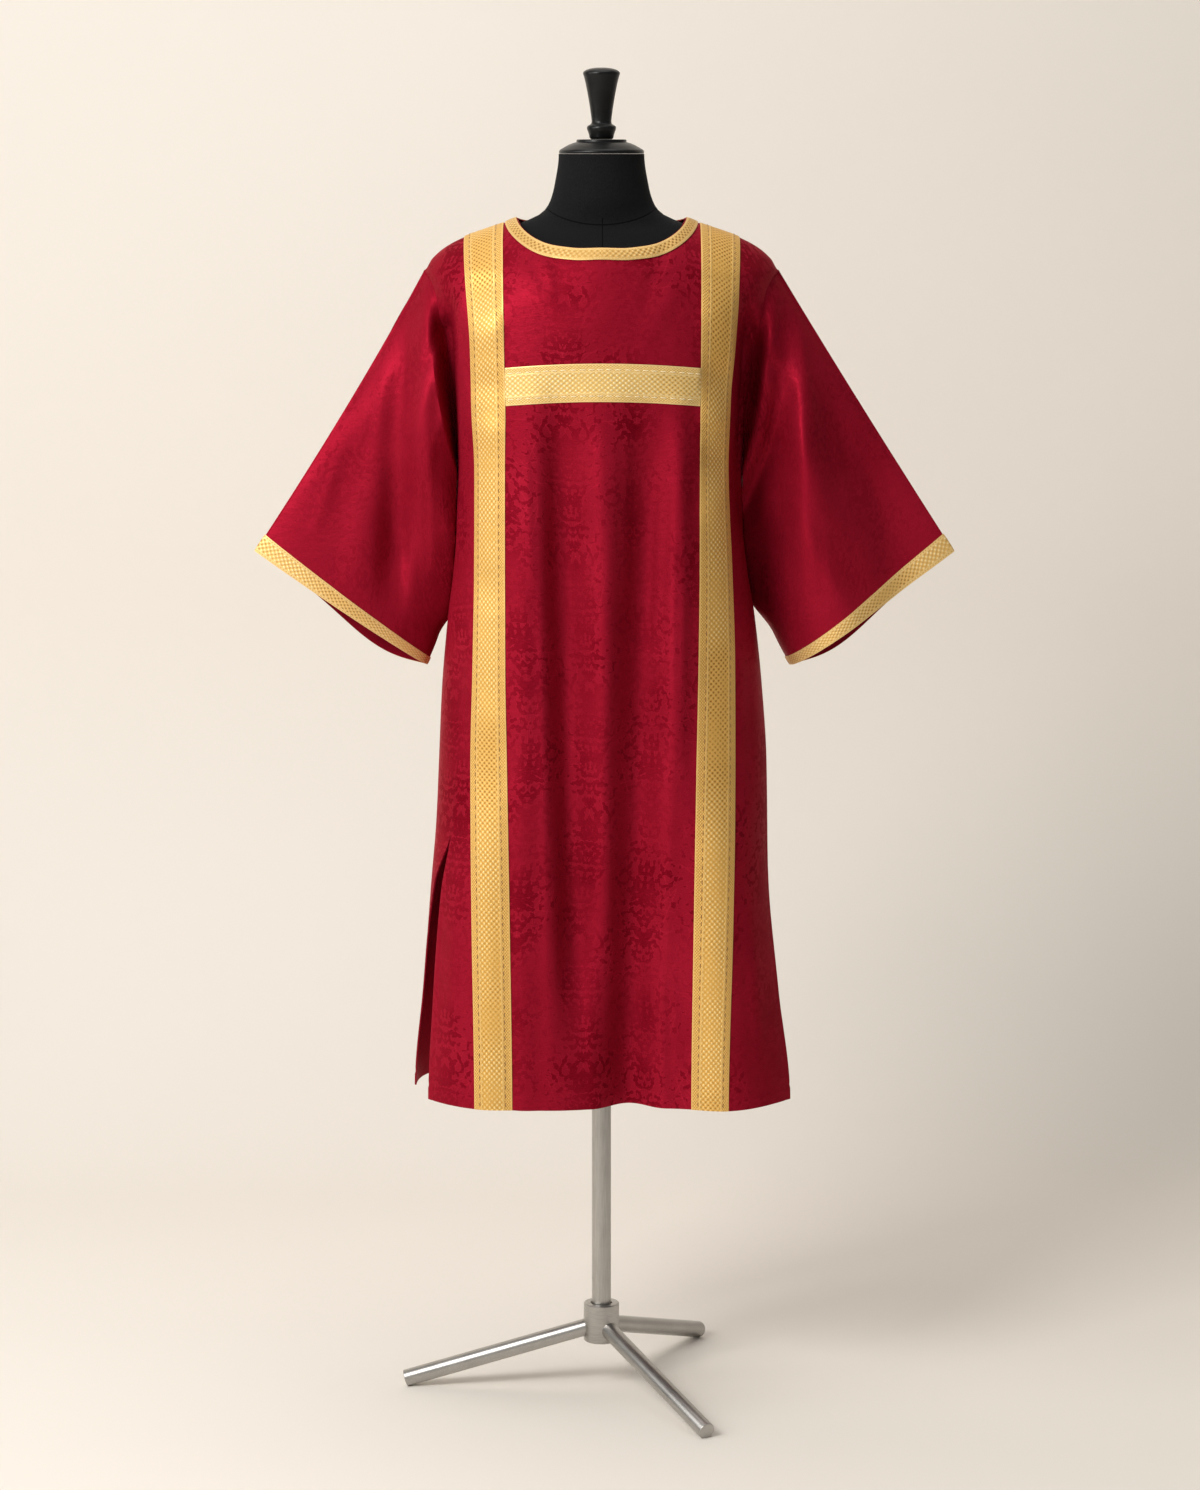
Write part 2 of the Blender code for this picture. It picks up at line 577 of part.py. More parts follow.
def armhole_point(side, panel, share):
    """A point on the armhole edge of a panel, from the shoulder tip (0) to the underarm (1)."""
    sign = 1.0 if side == "l" else -1.0
    z = SHOULDER_TIP_HEIGHT + (UNDERARM_HEIGHT - SHOULDER_TIP_HEIGHT) * share
    angle = sign * math.radians(read(BODY, BODY_COLUMNS, f"{panel}_end_{side}", z))
    point = body_point(panel, angle, z)
    return Vector((abs(point.x), point.y, point.z))


def sleeve_point(side, panel, share, reach):
    """A point of a sleeve's outer face, measured with X outwards: share runs from the upper fold
    to the underarm edge, reach from the armhole to the cuff."""
    corners = SLEEVES[side]
    shoulder = Vector((armhole_point(side, "front", 0.0).x, 0.0, SHOULDER_TIP_HEIGHT))
    underarm = Vector((armhole_point(side, "front", 1.0).x, 0.0, UNDERARM_HEIGHT))
    fold = bend(shoulder, Vector(corners["fold_bend"]), Vector(corners["fold_tip"]), reach)
    under = bend(underarm, Vector(corners["under_bend"]), Vector(corners["under_tip"]), reach)
    point = fold.lerp(under, share)
    seam_shift = armhole_point(side, panel, share) - shoulder.lerp(underarm, share)
    point += seam_shift * (1.0 - reach) ** (2.0 + 8.0 * smooth_step(share / 0.6))
    along = (Vector(corners["fold_tip"]) - shoulder).normalized()
    point += SLEEVE_START_GAP * (1.0 - reach)
    facing = -1.0 if panel == "front" else 1.0
    opened = smooth_step(reach / SLEEVE_OPENED)
    belly = (share ** 0.85) * ((1.0 - share) ** 0.5) / BELLY_PEAK
    folds = fold_height(SLEEVE_FOLDS[f"{side}_{panel}"], point.x, point.z)
    point.y += facing * opened * SLEEVE_SWELL[panel] * belly
    point.y += facing * smooth_step(reach / SLEEVE_FOLDS_OPEN) * folds * math.sin(math.pi * share) ** 0.5
    near = smooth_step(reach / 0.08) * (1.0 - smooth_step((reach - 0.10) / 0.55))
    round_edge = min((1.0 - share) / 0.40, 1.0) ** 0.55
    point.y += facing * SLEEVE_ROLL[panel] * near * smooth_step(share / 0.45) * round_edge
    inwards = smooth_step((reach - 0.05) / 0.10) * (1.0 - smooth_step((reach - 0.55) / 0.25))
    point.x -= SLEEVE_ROLL_IN * inwards * share ** 6
    if panel == "back":
        point += along * CUFF_BACK_DROP * reach ** 4 * math.sin(math.pi * share ** 2.2)
    return point


def underarm_clearance(side, point):
    """Moves a sleeve's point out to clear the body's side."""
    if point.z < UNDERARM_HEIGHT + UNDERARM_REACH:
        width = read(BODY, BODY_COLUMNS, f"front_{side}", point.z)
        depth = read(BODY, BODY_COLUMNS, "front_depth" if point.y < 0 else "back_depth", point.z)
        at_side = width * max(1.0 - (abs(point.y) / depth) ** SQUARENESS, 0.0) ** (1.0 / SQUARENESS)
        spread = SLEEVE_SIDE_SPREAD * max(SLEEVE_SPREAD_TOP - point.z, 0.0)
        point.x = max(point.x, at_side + SLEEVE_SIDE_GAP + spread)
    return point


def sleeve_grid(side):
    sign = 1.0 if side == "l" else -1.0
    edge = column_heights("front", *LANES[-1])[:ARMHOLE_STEPS + 1]
    shares = [(edge[0] - z) / (edge[0] - edge[-1]) for z in edge]
    stations = [("front", share) for share in shares[:-1]] + [("back", share) for share in shares[:0:-1]]
    rows = []
    for reach in SLEEVE_ROWS:
        row = []
        for panel, share in stations:
            point = underarm_clearance(side, sleeve_point(side, panel, share, reach))
            row.append((sign * point.x, point.y, point.z))
        rows.append(row if sign < 0 else row[::-1])
    return np.array(rows)


def build_sleeve(side, sleeve_name, cuff_name):
    points = sleeve_grid(side)
    normals = grid_normals(points, closed=True)
    turned_rows = 2 if side == "r" else 0
    wall(sleeve_name, DAMASK, points, points - normals * CLOTH, closed=True, mirrored=turned_rows)
    edge, outwards = points[-2:], normals[-2:]
    under = edge + outwards * LIFT
    wall(cuff_name, BRAID, under + outwards * GALLOON, under, closed=True)


# ---------------------------------------------------------------- dress form and stand

FORM_STEPS = 28
TURNED_STEPS = 20
LEG_STEPS = 16
HUB_STEPS = 32
SHARP = math.radians(40)


def loft(name, finish, rings):
    """A closed solid through rings of points, from the lowest to the highest."""
    steps = len(rings[0])
    vertices = [point for ring in rings for point in ring]
    faces = [tuple(range(steps)), tuple(range(len(vertices) - steps, len(vertices)))]
    for level in range(len(rings) - 1):
        for step in range(steps):
            a, b = level * steps + step, level * steps + (step + 1) % steps
            faces.append((a, b, b + steps, a + steps))
    return solid(name, finish, vertices, faces)


def build_form():
    rings = []
    for height, across, front, back in FORM:
        ring = []
        for step in range(FORM_STEPS):
            turn = 2 * math.pi * step / FORM_STEPS
            depth = front if math.sin(turn) < 0 else back
            ring.append((across * math.cos(turn), depth * math.sin(turn), height))
        rings.append(ring)
    return loft("dress_form_torso", JERSEY, rings)


def circle(radius, height, steps=TURNED_STEPS):
    turns = [2 * math.pi * step / steps for step in range(steps)]
    return [(radius * math.cos(turn), radius * math.sin(turn), height) for turn in turns]


def turned(name, finish, profile, tip=None):
    """A turned solid; with a tip its last ring closes on a point."""
    piece = loft(name, finish, [circle(radius, height) for radius, height in profile])
    if tip is not None:
        shape = bmesh.new()
        shape.from_mesh(piece.data)
        top = max(shape.faces, key=lambda face: face.calc_center_median().z)
        point = bmesh.ops.poke(shape, faces=[top])["verts"][0]
        point.co.z = tip
        shape.to_mesh(piece.data)
        shape.free()
    piece.data.set_sharp_from_angle(angle=SHARP)
    return piece


def leg_matrix(angle):
    """Turns +Z down a leg's axis and puts the origin on the axis, inside the hub."""
    slope = (LEG_ROOT_HEIGHT - LEG_END_HEIGHT) / (LEG_REACH - HUB_RADIUS)
    start_height = LEG_ROOT_HEIGHT + slope * (HUB_RADIUS - LEG_INNER_REACH)
    direction = Vector((math.cos(angle), math.sin(angle), -slope)).normalized()
    start = Vector((LEG_INNER_REACH * math.cos(angle), LEG_INNER_REACH * math.sin(angle), start_height))
    length = (LEG_REACH - LEG_INNER_REACH) * math.hypot(1.0, slope)
    return Matrix.Translation(start) @ direction.to_track_quat("Z", "Y").to_matrix().to_4x4(), length


def put(rings, placed):
    return [[tuple(placed @ Vector(point)) for point in ring] for ring in rings]


def build_leg(name, angle):
    placed, length = leg_matrix(math.radians(angle))
    rings = [circle(LEG_RADIUS, 0.0, LEG_STEPS), circle(LEG_RADIUS, length - LEG_EDGE, LEG_STEPS),
             circle(LEG_RADIUS - LEG_EDGE, length, LEG_STEPS)]
    leg = loft(name, STEEL, put(rings, placed))
    shape = bmesh.new()
    shape.from_mesh(leg.data)
    everything = shape.verts[:] + shape.edges[:] + shape.faces[:]
    cut = bmesh.ops.bisect_plane(shape, geom=everything, plane_co=(0, 0, 0), plane_no=(0, 0, -1),
                                 clear_outer=True)
    edges = [part for part in cut["geom_cut"] if isinstance(part, bmesh.types.BMEdge)]
    bmesh.ops.edgeloop_fill(shape, edges=edges)
    bmesh.ops.recalc_face_normals(shape, faces=shape.faces)
    shape.to_mesh(leg.data)
    shape.free()
    leg.data.set_sharp_from_angle(angle=SHARP)


def build_hub():
    """The hub is bored from above for the pole and from three sides for the legs."""
    outside = [(HUB_RADIUS - HUB_EDGE, HUB_BOTTOM), (HUB_RADIUS, HUB_BOTTOM + HUB_EDGE),
               (HUB_RADIUS, HUB_TOP - HUB_EDGE), (HUB_RADIUS - HUB_EDGE, HUB_TOP),
               (HUB_BORE, HUB_TOP), (HUB_BORE, HUB_BORE_FLOOR)]
    hub = loft("hub", STEEL, [circle(radius, height, HUB_STEPS) for radius, height in outside])
    for name, angle in LEG_ANGLES.items():
        placed, _ = leg_matrix(math.radians(angle))
        rings = [circle(LEG_BORE, -2 * SEAM, LEG_STEPS), circle(LEG_BORE, 2 * HUB_RADIUS, LEG_STEPS)]
        bore = loft(f"{name}_bore", STEEL, put(rings, placed))
        bore.hide_render = True
        bore.display_type = "WIRE"
        cut = hub.modifiers.new(f"{name}_socket", "BOOLEAN")
        cut.operation = "DIFFERENCE"
        cut.solver = "EXACT"
        cut.object = bore
    hub.data.set_sharp_from_angle(angle=SHARP)


# ---------------------------------------------------------------- the whole

for panel in ("front", "back"):
    build_panel(panel)
build_band("band_right", lane=1)
build_band("band_left", lane=5)
build_crossbar()
build_neck_binding()
build_sleeve("r", "sleeve_right", "cuff_band_right")
build_sleeve("l", "sleeve_left", "cuff_band_left")
build_form()
turned("neck_cap", TURNED_WOOD, CAP_PROFILE)
turned("finial", TURNED_WOOD, FINIAL_PROFILE, tip=FINIAL_TOP)
loft("pole", STEEL, [circle(POLE_RADIUS, HUB_BORE_FLOOR + SEAM), circle(POLE_RADIUS, FORM[0][0] - SEAM)])
build_hub()
for leg_name, leg_angle in LEG_ANGLES.items():
    build_leg(leg_name, leg_angle)
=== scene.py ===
"""A crimson deacon's dalmatic with gold galloon on a limbless dress form, dressed and lit.

Metres, +Z up.  The wearer faces -Y, the wearer's right is -X, and the floor is Z = 0.
"""

import json
import math

import bmesh
import bpy
import numpy as np
from mathutils import Matrix, Vector

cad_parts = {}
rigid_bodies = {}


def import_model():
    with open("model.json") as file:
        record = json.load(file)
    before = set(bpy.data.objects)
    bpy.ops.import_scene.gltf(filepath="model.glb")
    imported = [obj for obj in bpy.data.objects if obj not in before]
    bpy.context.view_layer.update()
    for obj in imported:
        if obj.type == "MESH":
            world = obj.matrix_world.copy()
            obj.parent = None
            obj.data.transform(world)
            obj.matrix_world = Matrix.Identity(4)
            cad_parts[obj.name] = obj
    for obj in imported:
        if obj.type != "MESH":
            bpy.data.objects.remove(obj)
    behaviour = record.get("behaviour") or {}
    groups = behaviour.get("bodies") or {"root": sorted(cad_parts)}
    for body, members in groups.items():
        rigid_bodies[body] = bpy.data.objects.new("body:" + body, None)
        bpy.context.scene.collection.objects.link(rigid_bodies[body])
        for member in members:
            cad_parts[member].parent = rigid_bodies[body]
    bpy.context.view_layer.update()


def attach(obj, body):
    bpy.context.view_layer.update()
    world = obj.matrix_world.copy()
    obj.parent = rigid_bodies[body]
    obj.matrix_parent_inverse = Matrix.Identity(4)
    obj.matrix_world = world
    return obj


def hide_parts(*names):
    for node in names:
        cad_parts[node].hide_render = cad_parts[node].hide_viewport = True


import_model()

# ---------------------------------------------------------------- front panel
# The front is one length of lined silk damask, cut whole from the shoulder to a turned hem.
# It hangs from the shoulders and rolls over them, and soft creases fall from the chest.

# The lined cloth's thickness, and how far each panel stands off the plane it is sewn in.
CLOTH = 0.0016
SEAM = 0.0003
# The cloth turns over the shoulder on this radius, and the body's section is a squared ellipse.
ROLL = 0.120
SQUARENESS = 2.5
# Heights: the side seams end at the slits' tops, and the slits stand open lower down.
SHOULDER_TIP = 1.549
UNDERARM = 1.270
SLIT_TOP = 0.985
SLIT_OPEN = 0.800
HEM = 0.430
HEM_TURN = 0.019
# The neck opening, and the binding and the crossbar that the grid of points follows.
NECK_HALF = 0.1125
NECK_DROP = {"front": 0.0685, "back": 0.030}
NECK_ROUNDNESS = 0.75
BINDING_WIDTH = 0.0165
BINDING_DROP = {"front": 0.0163, "back": 0.012}
BAR_TOP = 1.4246
BAR_WIDTH = 0.050
BAR_HALF = 0.130
BAR_ARCH = 0.007
BAR_END_DROP = 0.30

SHOULDER_LINE = {
    "columns": ("across", "height"),
    "rows": (
        (0.0000, 1.6500), (0.0400, 1.6435), (0.0800, 1.6300), (0.1125, 1.6185),
        (0.1305, 1.6114), (0.1840, 1.5925), (0.2090, 1.5795), (0.2270, 1.5640),
        (0.2375, 1.5490),
    ),
}
BODY = {
    "columns": ("height", "front_r", "front_l", "back_r", "back_l", "front_depth", "back_depth",
                "front_end_r", "front_end_l", "back_end_r", "back_end_l"),
    "rows": (
        (1.650, 0.2375, 0.2375, 0.2375, 0.2375, 0.118, 0.122, 90.0, 90.0, 90.0, 90.0),
        (1.549, 0.2375, 0.2375, 0.2375, 0.2375, 0.132, 0.130, 90.0, 90.0, 90.0, 90.0),
        (1.539, 0.2325, 0.2320, 0.2325, 0.2320, 0.134, 0.131, 80.0, 79.5, 80.0, 79.5),
        (1.516, 0.2270, 0.2250, 0.2270, 0.2250, 0.140, 0.133, 74.5, 73.5, 74.0, 73.0),
        (1.484, 0.2205, 0.2190, 0.2205, 0.2190, 0.146, 0.134, 76.0, 75.0, 74.5, 73.5),
        (1.464, 0.2160, 0.2145, 0.2160, 0.2145, 0.148, 0.135, 72.5, 72.0, 71.0, 70.5),
        (1.420, 0.2080, 0.2050, 0.2080, 0.2050, 0.151, 0.137, 77.0, 77.0, 69.0, 68.5),
        (1.370, 0.2010, 0.1960, 0.2010, 0.1960, 0.152, 0.137, 82.0, 82.0, 70.5, 69.5),
        (1.320, 0.1965, 0.1915, 0.1965, 0.1915, 0.152, 0.136, 85.0, 85.0, 75.5, 75.5),
        (1.285, 0.1950, 0.1900, 0.1950, 0.1900, 0.151, 0.135, 88.0, 88.0, 84.5, 84.5),
        (1.270, 0.1948, 0.1896, 0.1948, 0.1896, 0.151, 0.135, 90.0, 90.0, 90.0, 90.0),
        (1.200, 0.1960, 0.1915, 0.1960, 0.1915, 0.150, 0.134, 88.0, 90.0, 92.0, 90.0),
        (1.140, 0.2010, 0.1985, 0.2010, 0.1985, 0.149, 0.134, 81.0, 88.0, 99.0, 92.0),
        (1.090, 0.2075, 0.2070, 0.2075, 0.2070, 0.149, 0.134, 73.0, 86.0, 107.0, 94.0),
        (0.985, 0.2170, 0.2185, 0.2170, 0.2185, 0.149, 0.137, 57.0, 81.0, 123.0, 99.0),
        (0.890, 0.2215, 0.2250, 0.2215, 0.2250, 0.150, 0.141, 58.0, 81.0, 122.0, 99.0),
        (0.800, 0.2260, 0.2268, 0.2260, 0.2268, 0.151, 0.145, 60.5, 80.5, 119.5, 99.5),
        (0.720, 0.2378, 0.2310, 0.2330, 0.2280, 0.152, 0.149, 62.5, 78.0, 104.0, 95.0),
        (0.575, 0.2484, 0.2532, 0.2445, 0.2360, 0.153, 0.155, 64.0, 70.0, 91.0, 91.0),
        (0.430, 0.2564, 0.2795, 0.2573, 0.2450, 0.155, 0.160, 64.0, 64.0, 90.0, 90.0),
    ),
}
BAND_EDGES = {
    "columns": ("height", "r_outer", "r_inner", "l_inner", "l_outer"),
    "rows": (
        (1.600, 0.1833, 0.1305, 0.1315, 0.1843), (1.540, 0.1800, 0.1292, 0.1311, 0.1818),
        (1.455, 0.1730, 0.1278, 0.1306, 0.1765), (1.375, 0.1718, 0.1262, 0.1302, 0.1702),
        (1.290, 0.1681, 0.1270, 0.1296, 0.1681), (1.153, 0.1690, 0.1274, 0.1297, 0.1738),
        (1.026, 0.1715, 0.1274, 0.1285, 0.1778), (0.885, 0.1749, 0.1255, 0.1262, 0.1785),
        (0.695, 0.1738, 0.1227, 0.1238, 0.1763), (0.430, 0.1708, 0.1199, 0.1212, 0.1708),
    ),
}
# Each row is a hanging fold: its crest's x and z at the top, x and z at the end, its reach towards
# -X, its reach towards +X, and its height.
FOLDS = {
    "front": (
        (-0.056, 1.440, -0.034, 0.470, 0.036, 0.054, -0.032),
        (0.062, 1.440, 0.036, 0.390, 0.050, 0.050, -0.031),
        (0.030, 1.060, 0.036, 0.390, 0.125, 0.145, -0.008),
        (0.032, 0.780, 0.036, 0.390, 0.120, 0.150, -0.010),
        (-0.165, 0.900, -0.168, 0.390, 0.095, 0.075, 0.012),
        (0.170, 0.900, 0.182, 0.390, 0.085, 0.090, 0.020),
        (0.004, 1.400, 0.000, 0.800, 0.034, 0.034, 0.003),
        (-0.108, 1.420, -0.104, 0.400, 0.022, 0.026, 0.004),
        (0.106, 1.420, 0.102, 0.850, 0.030, 0.020, 0.006),
        (0.000, 1.600, 0.000, 1.440, 0.080, 0.080, 0.004),
        (-0.202, 1.535, -0.200, 1.220, 0.022, 0.012, -0.050),
        (0.194, 1.535, 0.192, 1.170, 0.022, 0.024, -0.060),
    ),
    "back": (
        (-0.090, 1.420, -0.080, 0.700, 0.036, 0.036, -0.012),
        (-0.040, 1.400, -0.044, 0.640, 0.034, 0.034, 0.006),
        (0.008, 1.440, 0.004, 0.390, 0.036, 0.036, -0.013),
        (0.060, 1.400, 0.056, 0.600, 0.034, 0.034, 0.006),
        (0.098, 1.400, 0.100, 0.760, 0.028, 0.028, -0.010),
        (-0.066, 0.740, -0.060, 0.390, 0.044, 0.044, -0.012),
        (0.086, 0.700, 0.084, 0.390, 0.040, 0.040, -0.012),
        (-0.158, 0.800, -0.180, 0.390, 0.030, 0.030, 0.005),
        (0.156, 0.800, 0.176, 0.390, 0.030, 0.030, 0.004),
        (-0.196, 1.530, -0.198, 1.210, 0.022, 0.016, -0.030),
        (0.190, 1.530, 0.192, 1.210, 0.016, 0.022, -0.030),
    ),
}
# A fold fades out over this share of its length, and sinks by at most this share of the depth.
FOLD_FADE = 0.25
FOLD_LIMIT = 0.6
# How far below the shoulder line the creases and the small waves come in.
CREASE_START = 0.03
WAVE_START = 0.04
WAVE = 0.0005
# Each row is a crease from one x and z to another, then its half-width and height.
CREASES = {
    "front": (
        (-0.052, 0.919, -0.012, 0.948, 0.007, -0.0016),
        (-0.040, 0.905, 0.004, 0.926, 0.010, 0.0012),
        (0.008, 1.084, 0.078, 1.050, 0.010, -0.0014),
        (0.020, 1.066, 0.086, 1.030, 0.012, 0.0012),
        (-0.117, 1.130, -0.092, 1.122, 0.006, -0.0014),
        (-0.117, 1.045, -0.086, 1.052, 0.006, 0.0013),
        (-0.116, 0.948, -0.094, 0.940, 0.005, -0.0013),
        (-0.116, 0.868, -0.088, 0.860, 0.007, 0.0014),
        (-0.116, 0.772, -0.080, 0.783, 0.007, -0.0015),
        (-0.115, 0.701, -0.090, 0.695, 0.005, 0.0013),
        (-0.114, 0.612, -0.082, 0.622, 0.007, -0.0014),
        (-0.113, 0.540, -0.093, 0.536, 0.005, 0.0010),
        (0.116, 1.172, 0.094, 1.160, 0.006, -0.0013),
        (0.117, 1.094, 0.096, 1.100, 0.005, 0.0012),
        (0.116, 0.988, 0.090, 0.972, 0.007, -0.0014),
        (0.115, 0.907, 0.092, 0.915, 0.006, 0.0013),
        (0.114, 0.808, 0.084, 0.796, 0.007, -0.0015),
        (0.113, 0.722, 0.090, 0.728, 0.005, 0.0011),
        (0.112, 0.640, 0.082, 0.628, 0.007, -0.0014),
        (0.111, 0.560, 0.091, 0.552, 0.005, 0.0011),
        (-0.100, 1.330, -0.090, 1.120, 0.010, 0.0022),
        (-0.056, 1.300, -0.050, 1.020, 0.012, 0.0022),
        (0.000, 1.370, -0.004, 1.180, 0.012, 0.0018),
        (0.034, 1.350, 0.030, 1.090, 0.010, 0.0020),
        (0.080, 1.330, 0.070, 1.010, 0.010, 0.0024),
        (0.103, 1.250, 0.100, 0.960, 0.009, -0.0020),
        (-0.062, 0.860, -0.058, 0.560, 0.012, 0.0022),
        (-0.018, 0.720, -0.014, 0.460, 0.012, 0.0022),
        (0.060, 0.780, 0.066, 0.520, 0.013, 0.0024),
        (0.088, 0.660, 0.092, 0.450, 0.011, -0.0018),
        (-0.090, 1.600, -0.060, 1.520, 0.014, 0.0018),
        (0.092, 1.602, 0.050, 1.500, 0.014, -0.0014),
        (-0.110, 1.560, -0.020, 1.450, 0.022, 0.0020),
        (0.112, 1.550, 0.050, 1.455, 0.020, 0.0018),
        (-0.203, 1.350, -0.188, 1.200, 0.010, 0.0022),
        (0.190, 1.330, 0.184, 1.150, 0.010, 0.0022),
        (-0.190, 1.120, -0.186, 0.900, 0.012, -0.0024),
        (0.196, 1.080, 0.200, 0.840, 0.013, -0.0024),
        (-0.197, 0.760, -0.204, 0.500, 0.016, 0.0030),
        (0.200, 0.720, 0.216, 0.480, 0.016, 0.0030),
        (0.128, 1.418, 0.184, 1.408, 0.034, -0.0075),
        (0.126, 1.366, 0.182, 1.355, 0.030, 0.0060),
        (0.128, 1.306, 0.180, 1.296, 0.034, -0.0070),
        (0.128, 1.240, 0.178, 1.246, 0.032, 0.0042),
        (0.128, 1.500, 0.186, 1.492, 0.044, 0.0040),
        (-0.184, 1.520, -0.126, 1.530, 0.036, -0.0060),
        (-0.182, 1.462, -0.126, 1.474, 0.036, 0.0064),
        (-0.180, 1.398, -0.124, 1.406, 0.032, -0.0060),
        (-0.180, 1.336, -0.124, 1.344, 0.034, 0.0050),
        (-0.178, 1.130, -0.122, 1.136, 0.044, -0.0036),
        (-0.178, 0.960, -0.122, 0.950, 0.046, 0.0022),
        (0.122, 1.020, 0.182, 1.030, 0.046, -0.0022),
        (0.120, 0.900, 0.184, 0.890, 0.044, 0.0024),
        (0.120, 0.700, 0.182, 0.710, 0.046, -0.0020),
    ),
    "back": (
        (-0.108, 1.320, -0.098, 1.080, 0.011, 0.0022),
        (-0.062, 1.290, -0.060, 1.000, 0.012, 0.0022),
        (-0.020, 1.360, -0.022, 1.130, 0.012, -0.0018),
        (0.036, 1.340, 0.034, 1.060, 0.011, 0.0022),
        (0.078, 1.330, 0.076, 1.030, 0.012, 0.0022),
        (0.116, 1.240, 0.112, 0.930, 0.010, -0.0020),
        (-0.100, 0.800, -0.104, 0.560, 0.013, 0.0022),
        (-0.036, 0.760, -0.030, 0.480, 0.013, 0.0024),
        (0.040, 0.720, 0.046, 0.460, 0.012, 0.0022),
        (0.112, 0.640, 0.114, 0.450, 0.010, -0.0018),
        (-0.116, 1.120, -0.092, 1.110, 0.006, -0.0013),
        (-0.116, 0.982, -0.090, 0.994, 0.006, 0.0013),
        (-0.114, 0.842, -0.086, 0.832, 0.007, -0.0014),
        (-0.113, 0.690, -0.090, 0.700, 0.006, 0.0012),
        (0.116, 1.060, 0.094, 1.068, 0.006, 0.0012),
        (0.115, 0.905, 0.086, 0.893, 0.007, -0.0014),
        (0.114, 0.770, 0.090, 0.778, 0.006, 0.0012),
        (0.112, 0.612, 0.084, 0.600, 0.007, -0.0014),
        (-0.100, 1.580, -0.040, 1.480, 0.020, 0.0020),
        (0.102, 1.575, 0.050, 1.470, 0.020, 0.0018),
        (-0.020, 1.010, 0.050, 0.985, 0.010, -0.0014),
        (-0.050, 0.880, -0.004, 0.900, 0.010, 0.0012),
        (-0.196, 1.120, -0.190, 0.860, 0.014, 0.0026),
        (0.198, 1.090, 0.200, 0.840, 0.014, 0.0026),
    ),
}
# The pull of the galloon's stitching on the cloth beside it.
PUCKER = 0.0007
PUCKER_REACH = 0.012
# Rows of the grid from the shoulder down, and columns in each lane from the right side seam.
ROW_COUNTS = {"roll": 26, "chest": 5, "bar": 8, "side": 16, "seam": 36, "slit": 22, "skirt": 50,
              "hem": 5}
LANE_COUNTS = (22, 12, 3, 64, 3, 12, 22)


def curve(keys, values, at):
    """A smooth curve through a table's rows, level at its two ends, that never overshoots."""
    rises = np.diff(values) / np.diff(keys)
    slopes = np.zeros(len(keys))
    same = rises[:-1] * rises[1:] > 0
    slopes[1:-1][same] = (2 * rises[:-1] * rises[1:])[same] / (rises[:-1] + rises[1:])[same]
    at = np.clip(at, keys[0], keys[-1])
    i = np.clip(np.searchsorted(keys, at, side="right") - 1, 0, len(keys) - 2)
    span = keys[i + 1] - keys[i]
    t = (at - keys[i]) / span
    return ((2 * t**3 - 3 * t**2 + 1) * values[i] + (t**3 - 2 * t**2 + t) * span * slopes[i]
            + (3 * t**2 - 2 * t**3) * values[i + 1] + (t**3 - t**2) * span * slopes[i + 1])


def size_at(table, name, at):
    rows = np.array(sorted(table["rows"]))
    return curve(rows[:, 0], rows[:, table["columns"].index(name)], np.asarray(at, float))


def smooth_step(t):
    t = np.clip(t, 0.0, 1.0)
    return t * t * (3.0 - 2.0 * t)


def fold_height(folds, x, z):
    total = np.zeros_like(x)
    for x_top, z_top, x_end, z_end, reach_low, reach_high, height in folds:
        along = (z_top - z) / (z_top - z_end)
        crest = x_top + (x_end - x_top) * np.clip(along, 0.0, 1.0)
        reach = np.where(x < crest, reach_low, reach_high)
        aside = np.minimum(np.where(x < crest, crest - x, x - crest) / reach, 1.0)
        runs_out = 1.0 if z_end < HEM else 0.0
        fade = smooth_step(along / FOLD_FADE) * smooth_step((1.0 - along) / FOLD_FADE + runs_out)
        total += height * np.cos(aside * math.pi / 2) ** 2 * fade
    return total


def crease_height(creases, x, z):
    total = np.zeros_like(x)
    for x_start, z_start, x_end, z_end, reach, height in creases:
        dx, dz = x_end - x_start, z_end - z_start
        t = np.clip(((x - x_start) * dx + (z - z_start) * dz) / (dx * dx + dz * dz), 0.0, 1.0)
        aside = np.minimum(np.hypot(x - x_start - t * dx, z - z_start - t * dz) / reach, 1.0)
        total += height * (1.0 - aside) ** 2 * (1.0 + 2.0 * aside) * np.sin(math.pi * t) ** 0.7
    return total


def ripple(along, across):
    """Uneven small waves, the same on every run."""
    waves = ((31.0, 7.0, 0.3), (53.0, -11.0, 1.9), (83.0, 17.0, 4.1), (127.0, -5.0, 2.7))
    return sum(np.sin(along * turns + across * lean + start) for turns, lean, start in waves) / 4.0


def shoulder_height(x):
    return size_at(SHOULDER_LINE, "height", np.abs(x))


def body_side(panel, left, z):
    return np.where(left, size_at(BODY, f"{panel}_l", z), size_at(BODY, f"{panel}_r", z))


def section_angle(panel, x, z):
    share = np.minimum(np.abs(x) / body_side(panel, x > 0, z), 1.0)
    return np.copysign(np.arcsin(share ** (SQUARENESS / 2)), x)


def section_across(panel, angle, z):
    across = body_side(panel, angle > 0, z) * np.abs(np.sin(angle)) ** (2.0 / SQUARENESS)
    return np.copysign(across, angle)


def band_pucker(x, z):
    """The cloth draws up a little beside the galloon's stitching."""
    edge = np.where(x > 0, size_at(BAND_EDGES, "l_inner", z), size_at(BAND_EDGES, "r_inner", z))
    beside = np.abs(x) - edge
    return PUCKER * np.exp(-np.abs(beside) / PUCKER_REACH) * ripple(z * 2.2, x)


